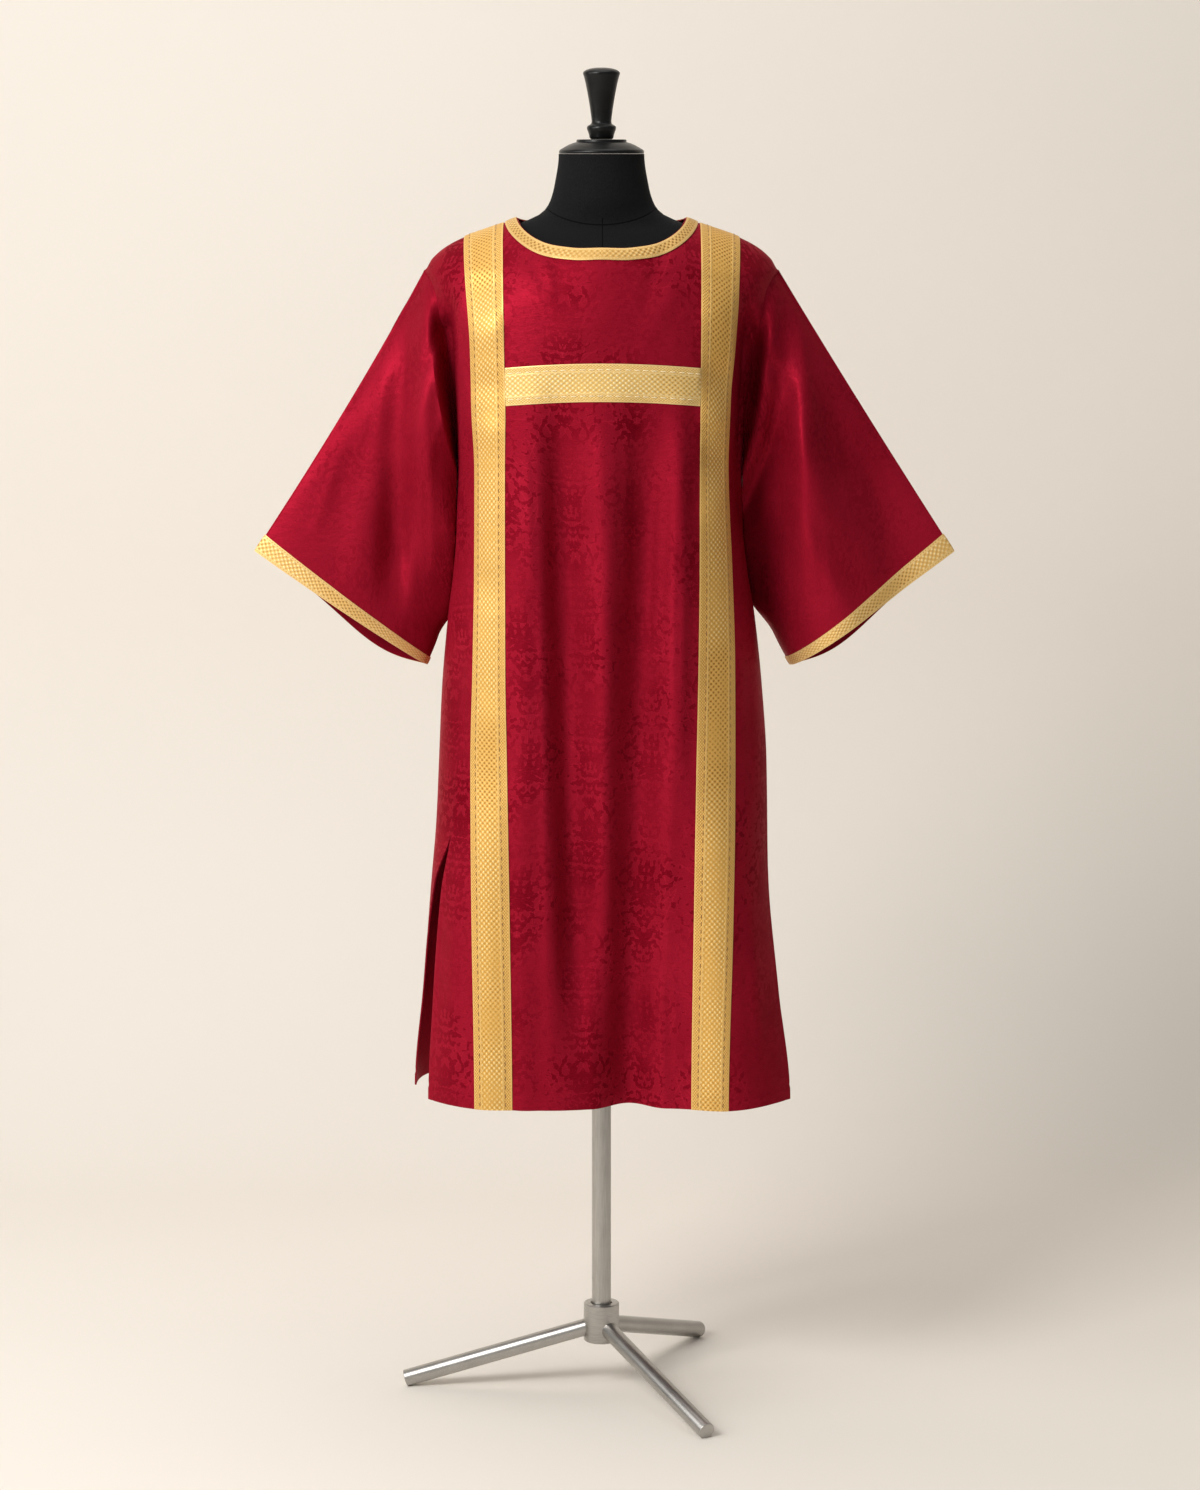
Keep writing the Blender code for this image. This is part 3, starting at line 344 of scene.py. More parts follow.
def body_surface(panel, angle, z):
    """Points of a panel's outer face, at an angle round the body from its centre line."""
    x = section_across(panel, angle, z)
    cosine = np.cos(angle)
    depth = size_at(BODY, f"{panel}_depth", z)
    out = depth * np.copysign(np.abs(cosine) ** (2.0 / SQUARENESS), cosine)
    below = np.maximum(shoulder_height(x) - z, 0.0)
    roll = np.sqrt(np.maximum(1.0 - np.maximum(1.0 - below / ROLL, 0.0) ** 2, 0.0))
    relief = fold_height(FOLDS[panel], x, z) * smooth_step(below / ROLL)
    relief += crease_height(CREASES[panel], x, z) * smooth_step(below / CREASE_START)
    small = band_pucker(x, z) + WAVE * ripple(z * 0.5, x * 3.0)
    relief += small * smooth_step(below / WAVE_START)
    relief = np.maximum(relief, -FOLD_LIMIT * np.abs(out) * roll)
    facing = -1.0 if panel == "front" else 1.0
    return np.stack([x, facing * (out * roll + relief + SEAM), z], axis=-1)


def neck_drop(panel, x, inset):
    half = NECK_HALF + BINDING_WIDTH * inset
    drop = NECK_DROP[panel] + BINDING_DROP[panel] * inset
    return drop * np.maximum(1.0 - (x / half) ** 2, 0.0) ** NECK_ROUNDNESS


def key_angles(panel, z):
    """Angles of the seams, the bands' edges and the neck corners, from one side to the other."""
    neck = np.full_like(z, NECK_HALF)
    across = (-size_at(BAND_EDGES, "r_outer", z), -size_at(BAND_EDGES, "r_inner", z), -neck,
              neck, size_at(BAND_EDGES, "l_inner", z), size_at(BAND_EDGES, "l_outer", z))
    first = -np.radians(size_at(BODY, f"{panel}_end_r", z))
    last = np.radians(size_at(BODY, f"{panel}_end_l", z))
    return np.stack([first] + [section_angle(panel, x, z) for x in across] + [last])


def bar_top(x):
    rise = BAR_ARCH * np.maximum(1.0 - (x / BAR_HALF) ** 2, 0.0)
    return BAR_TOP + rise - BAR_END_DROP * np.maximum(np.abs(x) - BAR_HALF, 0.0)


def lane_angle(panel, lane, share, z):
    angles = key_angles(panel, z)
    low = np.take_along_axis(angles, np.broadcast_to(lane, z.shape)[None], axis=0)[0]
    high = np.take_along_axis(angles, np.broadcast_to(lane + 1, z.shape)[None], axis=0)[0]
    return low + (high - low) * share


def lanes(counts):
    last = len(counts) - 1
    lane = np.concatenate([np.full(count, i) for i, count in enumerate(counts)] + [[last]])
    share = np.concatenate([np.arange(count) / count for count in counts] + [[1.0]])
    return lane, share


def column_heights(panel, top_x, counts):
    """Heights down each column, from the shoulder line or the neck opening to the hem."""
    ridge = shoulder_height(top_x)
    drop = np.where(np.abs(top_x) < NECK_HALF - 1e-6, neck_drop(panel, top_x, 0.0), 0.0)
    first = np.arccos(1.0 - drop / ROLL)
    turns = first + (math.pi / 2 - first) * np.linspace(0.0, 1.0, counts["roll"] + 1)[:, None]
    heights = [ridge - ROLL * (1.0 - np.cos(turns))]
    flat = np.zeros_like(top_x)
    bar = bar_top(top_x)
    levels = (heights[0][-1], bar, bar - BAR_WIDTH, flat + UNDERARM, flat + SLIT_TOP,
              flat + SLIT_OPEN, flat + HEM + HEM_TURN, flat + HEM)
    for part, start, end in zip(list(counts)[1:], levels, levels[1:]):
        steps = (np.arange(counts[part]) + 1)[:, None]
        heights.append(start + (end - start) * steps / counts[part])
    return np.concatenate(heights)


def top_across(panel, lane, share):
    """How far across each column crosses the shoulder line."""
    height = np.full(len(share), SHOULDER_TIP)
    for _ in range(6):
        across = section_across(panel, lane_angle(panel, lane, share, height), height)
        height = shoulder_height(across)
    return across


def panel_points(panel):
    lane, share = lanes(LANE_COUNTS)
    heights = column_heights(panel, top_across(panel, lane, share), ROW_COUNTS)
    points = body_surface(panel, lane_angle(panel, lane, share, heights), heights)
    return points[:, ::-1] if panel == "back" else points


def surface_normals(points, closed=False):
    down = np.gradient(points, axis=0)
    along = np.gradient(points, axis=1)
    if closed:
        along = (np.roll(points, -1, axis=1) - np.roll(points, 1, axis=1)) / 2
    normals = np.cross(down, along)
    return normals / np.linalg.norm(normals, axis=2, keepdims=True)


def cloth_map(points, closed=False):
    """Metres across from the middle and metres down, measured along the cloth."""
    ring = np.concatenate([points, points[:, :1]], axis=1) if closed else points
    across = np.cumsum(np.linalg.norm(np.diff(ring, axis=1), axis=2), axis=1)
    across = np.concatenate([np.zeros((len(points), 1)), across], axis=1)
    down = np.cumsum(np.linalg.norm(np.diff(ring, axis=0), axis=2), axis=0)
    down = np.concatenate([np.zeros((1, ring.shape[1])), down])
    return np.stack([across - across[:, -1:] / 2, down], axis=-1)


def closed_piece(mesh):
    """An object for the mesh, smooth, with its faces outwards."""
    shape = bmesh.new()
    shape.from_mesh(mesh)
    bmesh.ops.recalc_face_normals(shape, faces=shape.faces)
    shape.to_mesh(mesh)
    shape.free()
    mesh.shade_smooth()
    piece = bpy.data.objects.new(mesh.name, mesh)
    bpy.context.scene.collection.objects.link(piece)
    return piece


def shell(name, outer, inner, mapped, finish, closed=False):
    """A thin sheet closed at its edges, between two grids of points."""
    rows, columns = outer.shape[:2]
    line = np.arange(columns if closed else columns - 1)
    r, c = np.meshgrid(np.arange(rows - 1), line, indexing="ij")
    wide = mapped.shape[1]
    back = rows * columns

    def corner(row, column, behind):
        vertex = row * columns + column % columns + (back if behind else 0)
        return np.stack([vertex, row * wide + column], axis=-1).reshape(-1, 2)

    front = [corner(r, c, False), corner(r + 1, c, False), corner(r + 1, c + 1, False),
             corner(r, c + 1, False)]
    behind = [corner(r, c, True), corner(r, c + 1, True), corner(r + 1, c + 1, True),
              corner(r + 1, c, True)]
    sides = [np.stack(front, axis=1), np.stack(behind, axis=1)]
    for row, flip in ((0, False), (rows - 1, True)):
        edge = line * 0 + row
        rim = [corner(edge, line, False), corner(edge, line + 1, False),
               corner(edge, line + 1, True), corner(edge, line, True)]
        sides.append(np.stack(rim[::-1] if flip else rim, axis=1))
    if not closed:
        line = np.arange(rows - 1)
        for column, flip in ((0, True), (columns - 1, False)):
            edge = line * 0 + column
            rim = [corner(line, edge, False), corner(line + 1, edge, False),
                   corner(line + 1, edge, True), corner(line, edge, True)]
            sides.append(np.stack(rim[::-1] if flip else rim, axis=1))
    faces = np.concatenate(sides)
    mesh = bpy.data.meshes.new(name)
    vertices = np.concatenate([outer.reshape(-1, 3), inner.reshape(-1, 3)])
    mesh.from_pydata(vertices.tolist(), [], faces[:, :, 0].tolist())
    layer = mesh.uv_layers.new(name="cloth")
    layer.data.foreach_set("uv", mapped.reshape(-1, 2)[faces[:, :, 1].ravel()].ravel())
    mesh.materials.append(finish)
    piece = closed_piece(mesh)
    mesh.set_sharp_from_angle(angle=math.radians(50))
    return piece


class Value:
    """A shader socket that can be used in sums."""

    def __init__(self, finish, socket):
        self.finish = finish
        self.socket = socket

    def _math(self, operation, other=None, swap=False):
        pair = [self] if other is None else [self, other]
        pair = pair[::-1] if swap else pair
        return self.finish.node("ShaderNodeMath", {"operation": operation}, dict(enumerate(pair)))

    def __add__(self, other):
        return self._math("ADD", other)

    __radd__ = __add__

    def __sub__(self, other):
        return self._math("SUBTRACT", other)

    def __rsub__(self, other):
        return self._math("SUBTRACT", other, swap=True)

    def __mul__(self, other):
        return self._math("MULTIPLY", other)

    __rmul__ = __mul__

    def __abs__(self):
        return self._math("ABSOLUTE")

    def __mod__(self, other):
        return self._math("FLOORED_MODULO", other)

    def sine(self):
        return self._math("SINE")

    def floor(self):
        return self._math("FLOOR")

    def root(self):
        return self._math("SQRT")

    def most(self, other):
        return self._math("MAXIMUM", other)

    def step(self, low, high):
        """0 below low, 1 above high, and smooth between."""
        settings = {"interpolation_type": "SMOOTHSTEP"}
        return self.finish.node("ShaderNodeMapRange", settings, {0: self, 1: low, 2: high})


class Finish:
    """A material and its nodes."""

    def __init__(self, name, **constants):
        self.material = bpy.data.materials.new(name)
        self.material.use_nodes = True
        self.tree = self.material.node_tree
        self.shader = self.tree.nodes["Principled BSDF"]
        for socket, value in constants.items():
            self.shader.inputs[socket.replace("_", " ")].default_value = value

    def node(self, kind, settings=None, values=None, output=0):
        made = self.tree.nodes.new(kind)
        for name, value in (settings or {}).items():
            if name == "stops":
                ramp = made.color_ramp
                while len(ramp.elements) < len(value):
                    ramp.elements.new(0.5)
                for element, (place, colour) in zip(ramp.elements, value):
                    element.position = place
                    element.color = (*colour, 1.0)
            else:
                setattr(made, name, value)
        for key, value in (values or {}).items():
            if isinstance(value, Value):
                self.tree.links.new(value.socket, made.inputs[key])
            else:
                made.inputs[key].default_value = value
        return Value(self, made.outputs[output])

    def across_and_along(self):
        """The cloth's own map, in metres."""
        self.flat = self.node("ShaderNodeUVMap", {"uv_map": "cloth"})
        return self.part(self.flat, 0), self.part(self.flat, 1)

    def place(self):
        return self.node("ShaderNodeTexCoord", output="Object")

    def part(self, source, axis):
        return self.node("ShaderNodeSeparateXYZ", values={0: source}, output=axis)

    def stretched(self, source, scale):
        return self.node("ShaderNodeVectorMath", {"operation": "MULTIPLY"}, {0: source, 1: scale})

    def noise(self, source, scale, detail=2.0, roughness=0.5):
        values = {"Vector": source, "Scale": scale, "Detail": detail, "Roughness": roughness}
        return self.node("ShaderNodeTexNoise", values=values)

    def ramp(self, value, *stops):
        return self.node("ShaderNodeValToRGB", {"stops": stops}, {0: value})

    def feed(self, **sockets):
        for name, value in sockets.items():
            self.tree.links.new(value.socket, self.shader.inputs[name.replace("_", " ")])

    def bump(self, height, distance, strength, under=None):
        values = {"Height": height, "Distance": distance, "Strength": strength}
        if under is not None:
            values["Normal"] = under
        return self.node("ShaderNodeBump", values=values)


# The damask is woven with an ordinary half-drop of foliage.  Each leaf: how far from the motif's
# middle and how far up it springs, its lean in degrees, its length and its half-width.
REPEAT_WIDTH = 0.100
REPEAT_HEIGHT = 0.172
LOBE_LENGTH = 0.0075
STEM_HALF_WIDTH = 0.0007
STEM_SWING = 0.09
STEM_ASIDE = 0.12
# Across the body, where the figure starts to grow fainter and where it is faintest.
FAINT_FROM, FAINT_TO = 0.19, 0.24
LEAVES = (
    (0.000, 0.022, 0, 0.036, 0.0052), (0.002, 0.024, 30, 0.032, 0.0046),
    (0.003, 0.024, 62, 0.027, 0.0044), (0.003, 0.020, 100, 0.020, 0.0040),
    (0.002, -0.010, 42, 0.027, 0.0046), (0.004, -0.018, 86, 0.018, 0.0040),
    (0.000, -0.040, 0, 0.020, 0.0044), (0.003, -0.040, 58, 0.022, 0.0040),
    (0.012, -0.062, 20, 0.016, 0.0042), (0.018, -0.070, 112, 0.013, 0.0038),
    (0.030, 0.060, -26, 0.018, 0.0040), (0.036, 0.040, 34, 0.016, 0.0036),
)


def leaf(aside, up, base_aside, base_up, lean, length, width):
    """Metres inside a lobed leaf's edge and off its vein, below 0 outside."""
    sine, cosine = math.sin(math.radians(lean)), math.cos(math.radians(lean))
    x, y = aside - base_aside, up - base_up
    along = x * sine + y * cosine
    off = abs(x * cosine - y * sine)
    share = along * (1.0 / length)
    swell = (share * (1.0 - share) * 4.0).most(0.0).root()
    lobes = (along * (2 * math.pi / LOBE_LENGTH)).sine() * 0.22 + 0.86
    return swell * lobes * width - off


def damask_finish(name, bright, deep):
    finish = Finish(name, Metallic=0.32, IOR=1.15, Specular_Tint=(1.0, 0.12, 0.20, 1.0))
    u, v = finish.across_and_along()
    place = finish.place()
    wander = finish.noise(place, 9.0, 1.0, 0.5) * 0.012 - 0.006
    across = u + wander
    column = (across * (1.0 / REPEAT_WIDTH)).floor()
    aside = abs(across - (column + 0.5) * REPEAT_WIDTH)
    dropped = v + (column % 2.0) * (REPEAT_HEIGHT / 2) + wander
    up = REPEAT_HEIGHT / 2 - dropped % REPEAT_HEIGHT
    figure = None
    for row in LEAVES:
        inside = leaf(aside, up, *row)
        figure = inside if figure is None else figure.most(inside)
    # The stem swings once across for each repeat.
    phase = up * (2 * math.pi / REPEAT_HEIGHT)
    quarter_on = (phase + math.pi / 2).sine()
    stem = STEM_HALF_WIDTH - abs(aside - (quarter_on * STEM_SWING + STEM_ASIDE) * REPEAT_WIDTH)
    figure = figure.most(stem)
    # The noise is read on a drum one repeat round, so it joins up with itself.
    drum = REPEAT_HEIGHT / (2 * math.pi)
    tile = finish.node("ShaderNodeCombineXYZ", values={
        0: aside + (column % 2.0) * 0.3, 1: phase.sine() * drum, 2: quarter_on * drum})
    foliage = finish.noise(tile, 116.0, 1.4, 0.50)
    chain = 1.0 - (aside + (up * 74.0).sine() * 0.006).step(0.012, 0.034)
    tufts = (foliage - 0.585 + chain * 0.105) * 0.045
    figure = figure.most(tufts)
    edge = 1.0 - abs(figure).step(0.0001, 0.0007)
    vein_lines = 1.0 - abs(finish.noise(tile, 150.0, 1.0, 0.5) - 0.5).step(0.004, 0.016)
    edge = edge.most(vein_lines * figure.step(0.0006, 0.0012))
    figure = figure.step(-0.0002, 0.0006)
    patches = finish.noise(place, 7.5, 2.0, 0.6).step(0.40, 0.62)
    towards_sides = abs(finish.part(place, 0)).step(FAINT_FROM, FAINT_TO)
    faint = (patches * 0.75 + 0.25) * (1.0 - towards_sides * 0.65)
    slubs = finish.noise(finish.stretched(finish.flat, (110.0, 800.0, 1.0)), 1.0, 3.0, 0.6)
    grain = finish.noise(finish.stretched(finish.flat, (520.0, 520.0, 1.0)), 1.0, 3.0, 0.7)
    clouds = finish.noise(place, 5.5, 4.0, 0.62)
    crinkles = finish.noise(finish.stretched(place, (48.0, 48.0, 120.0)), 1.0, 4.0, 0.60)
    tone = (clouds * 0.42 + grain * 0.26 + slubs * 0.22 + 0.08
            - figure * faint * 0.21 + edge * faint * 0.20)
    colour = finish.ramp(tone, (0.22, deep), (0.80, bright))
    finish.feed(Base_Color=colour, Roughness=0.46 + figure * faint * 0.18 + clouds * 0.06)
    creased = finish.bump(crinkles, 0.0030, 0.28)
    weave = finish.bump(slubs * 0.6 + grain * 0.4, 0.0005, 0.45, under=creased)
    finish.feed(Normal=finish.bump(figure * faint, 0.0003, 0.4, under=weave))
    return finish.material


CRIMSON = damask_finish("crimson_damask", (0.43, 0.013, 0.036), (0.15, 0.001, 0.007))
# The width turned in along the slits, how much thicker a turning is, and its row of stitches.
SLIT_TURN = 0.010
TURN_THICKER = 0.0004
TURN_FADE = 0.003
STITCH_DENT = 0.0005
STITCH_DENT_REACH = 0.0016


def turned_edge(points, mapped, normals):
    """The hem and the slits' edges are turned in and stitched: a little thicker, with a dent."""
    above_hem = points[:, :, 2] - HEM
    half = np.abs(mapped[:, -1:, 0])
    from_side = np.where(points[:, :, 2] < SLIT_TOP, half - np.abs(mapped[:, :, 0]), 1.0)
    relief = np.zeros_like(from_side)
    for distance, turned_in in ((above_hem, HEM_TURN), (from_side, SLIT_TURN)):
        past = (distance - turned_in + TURN_FADE) / TURN_FADE
        relief += TURN_THICKER * (1.0 - smooth_step(past))
        relief -= STITCH_DENT * np.exp(-((distance - turned_in) / STITCH_DENT_REACH) ** 2)
    return points + normals * relief[:, :, None]


def meet(front, back):
    """Normals shared along the shoulders and the side seams, where the two panels meet."""
    shoulders = np.flatnonzero(np.abs(front["points"][0, :, 0]) > NECK_HALF - 1e-4)
    pairs = [((0, column), (0, -1 - column)) for column in shoulders]
    heights = front["points"][:, 0, 2]
    for row in np.flatnonzero((heights < UNDERARM + SEAM) & (heights > SLIT_OPEN - SEAM)):
        pairs += [((row, 0), (row, -1)), ((row, -1), (row, 0))]
    for at, other in pairs:
        mean = front["normals"][at] + back["normals"][other]
        front["normals"][at] = back["normals"][other] = mean / np.linalg.norm(mean)


PANELS = {}
for side in ("front", "back"):
    laid = panel_points(side)
    mapped = cloth_map(laid)
    mapped[:, :, 1] -= mapped[-1, :, 1]
    PANELS[side] = {"points": laid, "normals": surface_normals(laid), "map": mapped}
meet(PANELS["front"], PANELS["back"])


def sew_panel(side):
    panel = PANELS[side]
    outer = turned_edge(panel["points"], panel["map"], panel["normals"])
    inner = panel["points"] - panel["normals"] * CLOTH
    return shell(f"{side}_cloth", outer, inner, panel["map"], CRIMSON)


front_cloth = sew_panel("front")
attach(front_cloth, "root")
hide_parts("front_panel")

# ---------------------------------------------------------------- back panel
# The back is cut like the front but with a higher neck.  Its hem hangs level, and below the
# slits' tops it wraps forward round the sides.

back_cloth = sew_panel("back")
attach(back_cloth, "root")
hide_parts("back_panel")

# ---------------------------------------------------------------- sleeves
# Each sleeve is one wide piece of the damask folded along its top and seamed under the arm.
# It is set into the armhole and hangs open, its own weight drawing long folds from the shoulder.

CUFF_WIDTH = 0.024
SLEEVE_LENGTH = 0.443
SLEEVE_SWELL = {"front": 0.036, "back": 0.038}
SLEEVE_REACH_ROWS = 84
CUFF_ROWS = 8
# The upper fold's bend and tip and the underarm edge's bend and tip: out, depth and height.
SLEEVES = {
    "r": ((0.3425, -0.004, 1.368), (0.4685, -0.012, 1.1715),
          (0.2056, 0.040, 1.1203), (0.2384, 0.010, 1.0150)),
    "l": ((0.3450, -0.004, 1.376), (0.4765, -0.012, 1.1710),
          (0.2095, 0.040, 1.1262), (0.2575, 0.010, 1.0148)),
}
ARMHOLE_TUCK = np.array([-0.0030, 0.0, 0.0])
ARMHOLE_SINK = 0.0016
# Shares of the sleeve's length, where it has swelled out and where its folds have opened.
SLEEVE_OPENED = 0.35
SLEEVE_FOLDS_OPEN = 0.10
SLEEVE_WAVE = 0.0006
# The lower half rolls outwards beside the body, and its underarm edge is drawn in.  Shares along
# the sleeve say where the roll is full, where it starts to fade and over how much it fades.
SLEEVE_ROLL = {"front": 0.070, "back": 0.045}
ROLL_FULL = 0.08
ROLL_FADE_FROM, ROLL_FADE = 0.10, 0.55
ROLL_DOWN = 0.45
ROLL_EDGE, ROLL_EDGE_ROUND = 0.40, 0.55
SLEEVE_ROLL_IN = 0.018
ROLL_IN_FULL = 0.10
ROLL_IN_FADE_FROM, ROLL_IN_FADE = 0.55, 0.25
# The left front's roll is a low part beside the armhole and a ridge between two distances out.
BESIDE = 0.50
BESIDE_FADE_FROM, BESIDE_FADE = 0.09, 0.16
RIDGE_RISE_FROM, RIDGE_RISE = 0.202, 0.068
RIDGE_FALL_FROM, RIDGE_FALL = 0.264, 0.165
RIDGE_LOWER_BESIDE = 0.30
BACK_CUFF_FALL = 0.020
# The sleeve stays this far off the body's side, and further towards the cuff.  The clearance
# ends a little above the underarm.
SLEEVE_SIDE_GAP = 0.0010
SLEEVE_SIDE_SPREAD = 0.030
SPREAD_BELOW = 1.10
UNDERARM_REACH = 0.030
# Folds and creases, in rows like the body's, with x measured outwards.
SLEEVE_FOLDS = {
    "r_front": (
        (0.258, 1.540, 0.282, 1.060, 0.024, 0.036, -0.018),
        (0.234, 1.480, 0.238, 1.090, 0.018, 0.018, 0.004),
        (0.300, 1.440, 0.330, 1.080, 0.034, 0.040, 0.005),
    ),
    "r_back": (
        (0.272, 1.480, 0.306, 1.060, 0.030, 0.030, -0.011),
        (0.330, 1.380, 0.372, 1.100, 0.034, 0.034, 0.005),
    ),
    "l_front": (
        (0.242, 1.560, 0.246, 1.070, 0.032, 0.030, -0.016),
        (0.276, 1.440, 0.286, 1.120, 0.034, 0.034, 0.004),
        (0.330, 1.400, 0.372, 1.080, 0.030, 0.040, 0.003),
    ),
    "l_back": (
        (0.266, 1.480, 0.300, 1.060, 0.030, 0.030, -0.011),
        (0.322, 1.380, 0.366, 1.100, 0.034, 0.034, 0.005),
    ),
}
SLEEVE_CREASES = {
    "r_front": (
        (0.250, 1.510, 0.262, 1.330, 0.010, 0.0022),
        (0.300, 1.400, 0.330, 1.250, 0.010, -0.0018),
        (0.236, 1.330, 0.240, 1.140, 0.008, -0.0022),
        (0.340, 1.330, 0.392, 1.190, 0.013, 0.0020),
        (0.270, 1.250, 0.282, 1.090, 0.010, 0.0020),
    ),
    "r_back": (
        (0.250, 1.500, 0.268, 1.300, 0.012, 0.0024),
        (0.300, 1.360, 0.330, 1.180, 0.012, -0.0022),
        (0.240, 1.300, 0.250, 1.110, 0.010, 0.0020),
    ),
    "l_front": (
        (0.262, 1.500, 0.286, 1.330, 0.010, 0.0024),
        (0.300, 1.380, 0.332, 1.230, 0.010, 0.0018),
        (0.240, 1.350, 0.246, 1.150, 0.008, -0.0024),
        (0.350, 1.300, 0.396, 1.180, 0.014, -0.0018),
        (0.288, 1.230, 0.300, 1.090, 0.010, -0.0018),
    ),
    "l_back": (
        (0.254, 1.500, 0.270, 1.310, 0.012, 0.0024),
        (0.300, 1.350, 0.334, 1.190, 0.012, -0.0022),
        (0.246, 1.290, 0.256, 1.110, 0.010, 0.0020),
    ),
}


def bend(start, middle, end, t):
    """Points on the quadratic curve that passes through its middle at t = 1/2."""
    pull = middle * 2.0 - (start + end) / 2.0
    return start * (1 - t) ** 2 + pull * 2 * t * (1 - t) + end * t**2


def armhole(side, panel, share):
    z = SHOULDER_TIP + (UNDERARM - SHOULDER_TIP) * share
    turn = np.radians(size_at(BODY, f"{panel}_end_{side}", z)) * (1.0 if side == "l" else -1.0)
    points = body_surface(panel, turn, z)
    points[..., 0] = np.abs(points[..., 0])
    return points


def roll_share(side, panel, reach, x):
    """How much of its roll the sleeve has.  The left front's stands out in one long ridge."""
    rising = smooth_step(reach / ROLL_FULL)
    if (side, panel) != ("l", "front"):
        return rising * (1.0 - smooth_step((reach - ROLL_FADE_FROM) / ROLL_FADE))
    beside = rising * (1.0 - smooth_step((reach - BESIDE_FADE_FROM) / BESIDE_FADE))
    ridge = rising * smooth_step((x - RIDGE_RISE_FROM) / RIDGE_RISE)
    ridge = ridge * (1.0 - smooth_step((x - RIDGE_FALL_FROM) / RIDGE_FALL))
    return BESIDE * beside + ridge * (1.0 - RIDGE_LOWER_BESIDE * beside)


def sleeve_surface(side, panel, share, reach):
    """Points of a sleeve's outer face, with X measured outwards."""
    fold_bend, fold_tip, under_bend, under_tip = (np.array(corner) for corner in SLEEVES[side])
    share, reach = share[None, :, None], reach[:, None, None]
    shoulder = np.array([armhole(side, "front", np.zeros(1))[0, 0], 0.0, SHOULDER_TIP])
    underarm = np.array([armhole(side, "front", np.ones(1))[0, 0], 0.0, UNDERARM])
    fold = bend(shoulder, fold_bend, fold_tip, reach)
    under = bend(underarm, under_bend, under_tip, reach)
    points = fold + (under - fold) * share
    seam = armhole(side, panel, share[0, :, 0])[None]
    # The armhole's own line fades into the sleeve, sooner towards the underarm.
    quick = 2.0 + 8.0 * smooth_step(share / 0.6)
    points = points + (seam - (shoulder + (underarm - shoulder) * share)) * (1.0 - reach) ** quick
    along = (fold_tip - shoulder) / np.linalg.norm(fold_tip - shoulder)
    points = points + ARMHOLE_TUCK * np.sin(math.pi * share) ** 0.5 * (1.0 - reach) ** 40
    x, z = points[..., 0], points[..., 2]
    share, reach = share[..., 0], reach[..., 0]
    hump = np.sin(math.pi * share) ** 0.5
    belly = share ** 0.85 * (1.0 - share) ** 0.5 / 0.51
    folds = fold_height(SLEEVE_FOLDS[f"{side}_{panel}"], x, z)
    folds = folds + crease_height(SLEEVE_CREASES[f"{side}_{panel}"], x, z)
    folds = folds + SLEEVE_WAVE * ripple(z * 0.6, x * 2.0)
    facing = -1.0 if panel == "front" else 1.0
    points[..., 1] += facing * (smooth_step(reach / SLEEVE_OPENED) * SLEEVE_SWELL[panel] * belly
                                + smooth_step(reach / SLEEVE_FOLDS_OPEN) * folds * hump)
    round_edge = np.minimum((1.0 - share) / ROLL_EDGE, 1.0) ** ROLL_EDGE_ROUND
    rolled = SLEEVE_ROLL[panel] * roll_share(side, panel, reach, x)
    points[..., 1] += facing * rolled * smooth_step(share / ROLL_DOWN) * round_edge
    inwards = 1.0 - smooth_step((reach - ROLL_IN_FADE_FROM) / ROLL_IN_FADE)
    inwards = smooth_step(reach / ROLL_IN_FULL) * inwards
    points[..., 0] -= SLEEVE_ROLL_IN * inwards * share ** 6
    sunk = ARMHOLE_SINK * (1.0 - reach) ** 40
    points[..., 1] -= facing * sunk * np.sin(math.pi * share) ** 0.3
    if panel == "back":
        fall = BACK_CUFF_FALL * reach ** 4 * np.sin(math.pi * share ** 2.2)
        points = points + along * fall[..., None]
    return points


def sleeve_points(side):
    sign = 1.0 if side == "l" else -1.0
    steps = sum(ROW_COUNTS[part] for part in ("roll", "chest", "bar", "side"))
    edge = PANELS["front"]["points"][:steps + 1, -1 if side == "l" else 0, 2]
    share = (edge[0] - edge) / (edge[0] - edge[-1])
    cuff = 1.0 - CUFF_WIDTH / SLEEVE_LENGTH
    reach = np.concatenate([cuff * np.linspace(0.0, 1.0, SLEEVE_REACH_ROWS)[:-1],
                            np.linspace(cuff, 1.0, CUFF_ROWS + 1)])
    points = np.concatenate([sleeve_surface(side, "front", share[:-1], reach),
                             sleeve_surface(side, "back", share[:0:-1], reach)], axis=1)
    width = size_at(BODY, f"front_{side}", points[..., 2])
    depth = np.where(points[..., 1] < 0, size_at(BODY, "front_depth", points[..., 2]),
                     size_at(BODY, "back_depth", points[..., 2]))
    in_depth = (np.abs(points[..., 1]) / depth) ** SQUARENESS
    at_side = np.maximum(1.0 - in_depth, 0.0) ** (1.0 / SQUARENESS)
    spread = SLEEVE_SIDE_SPREAD * np.maximum(SPREAD_BELOW - points[..., 2], 0.0)
    least = width * at_side + SLEEVE_SIDE_GAP + spread
    below = points[..., 2] < UNDERARM + UNDERARM_REACH
    points[..., 0] = np.where(below, np.maximum(points[..., 0], least), points[..., 0])
    points[..., 0] *= sign
    return points if sign < 0 else points[:, ::-1]


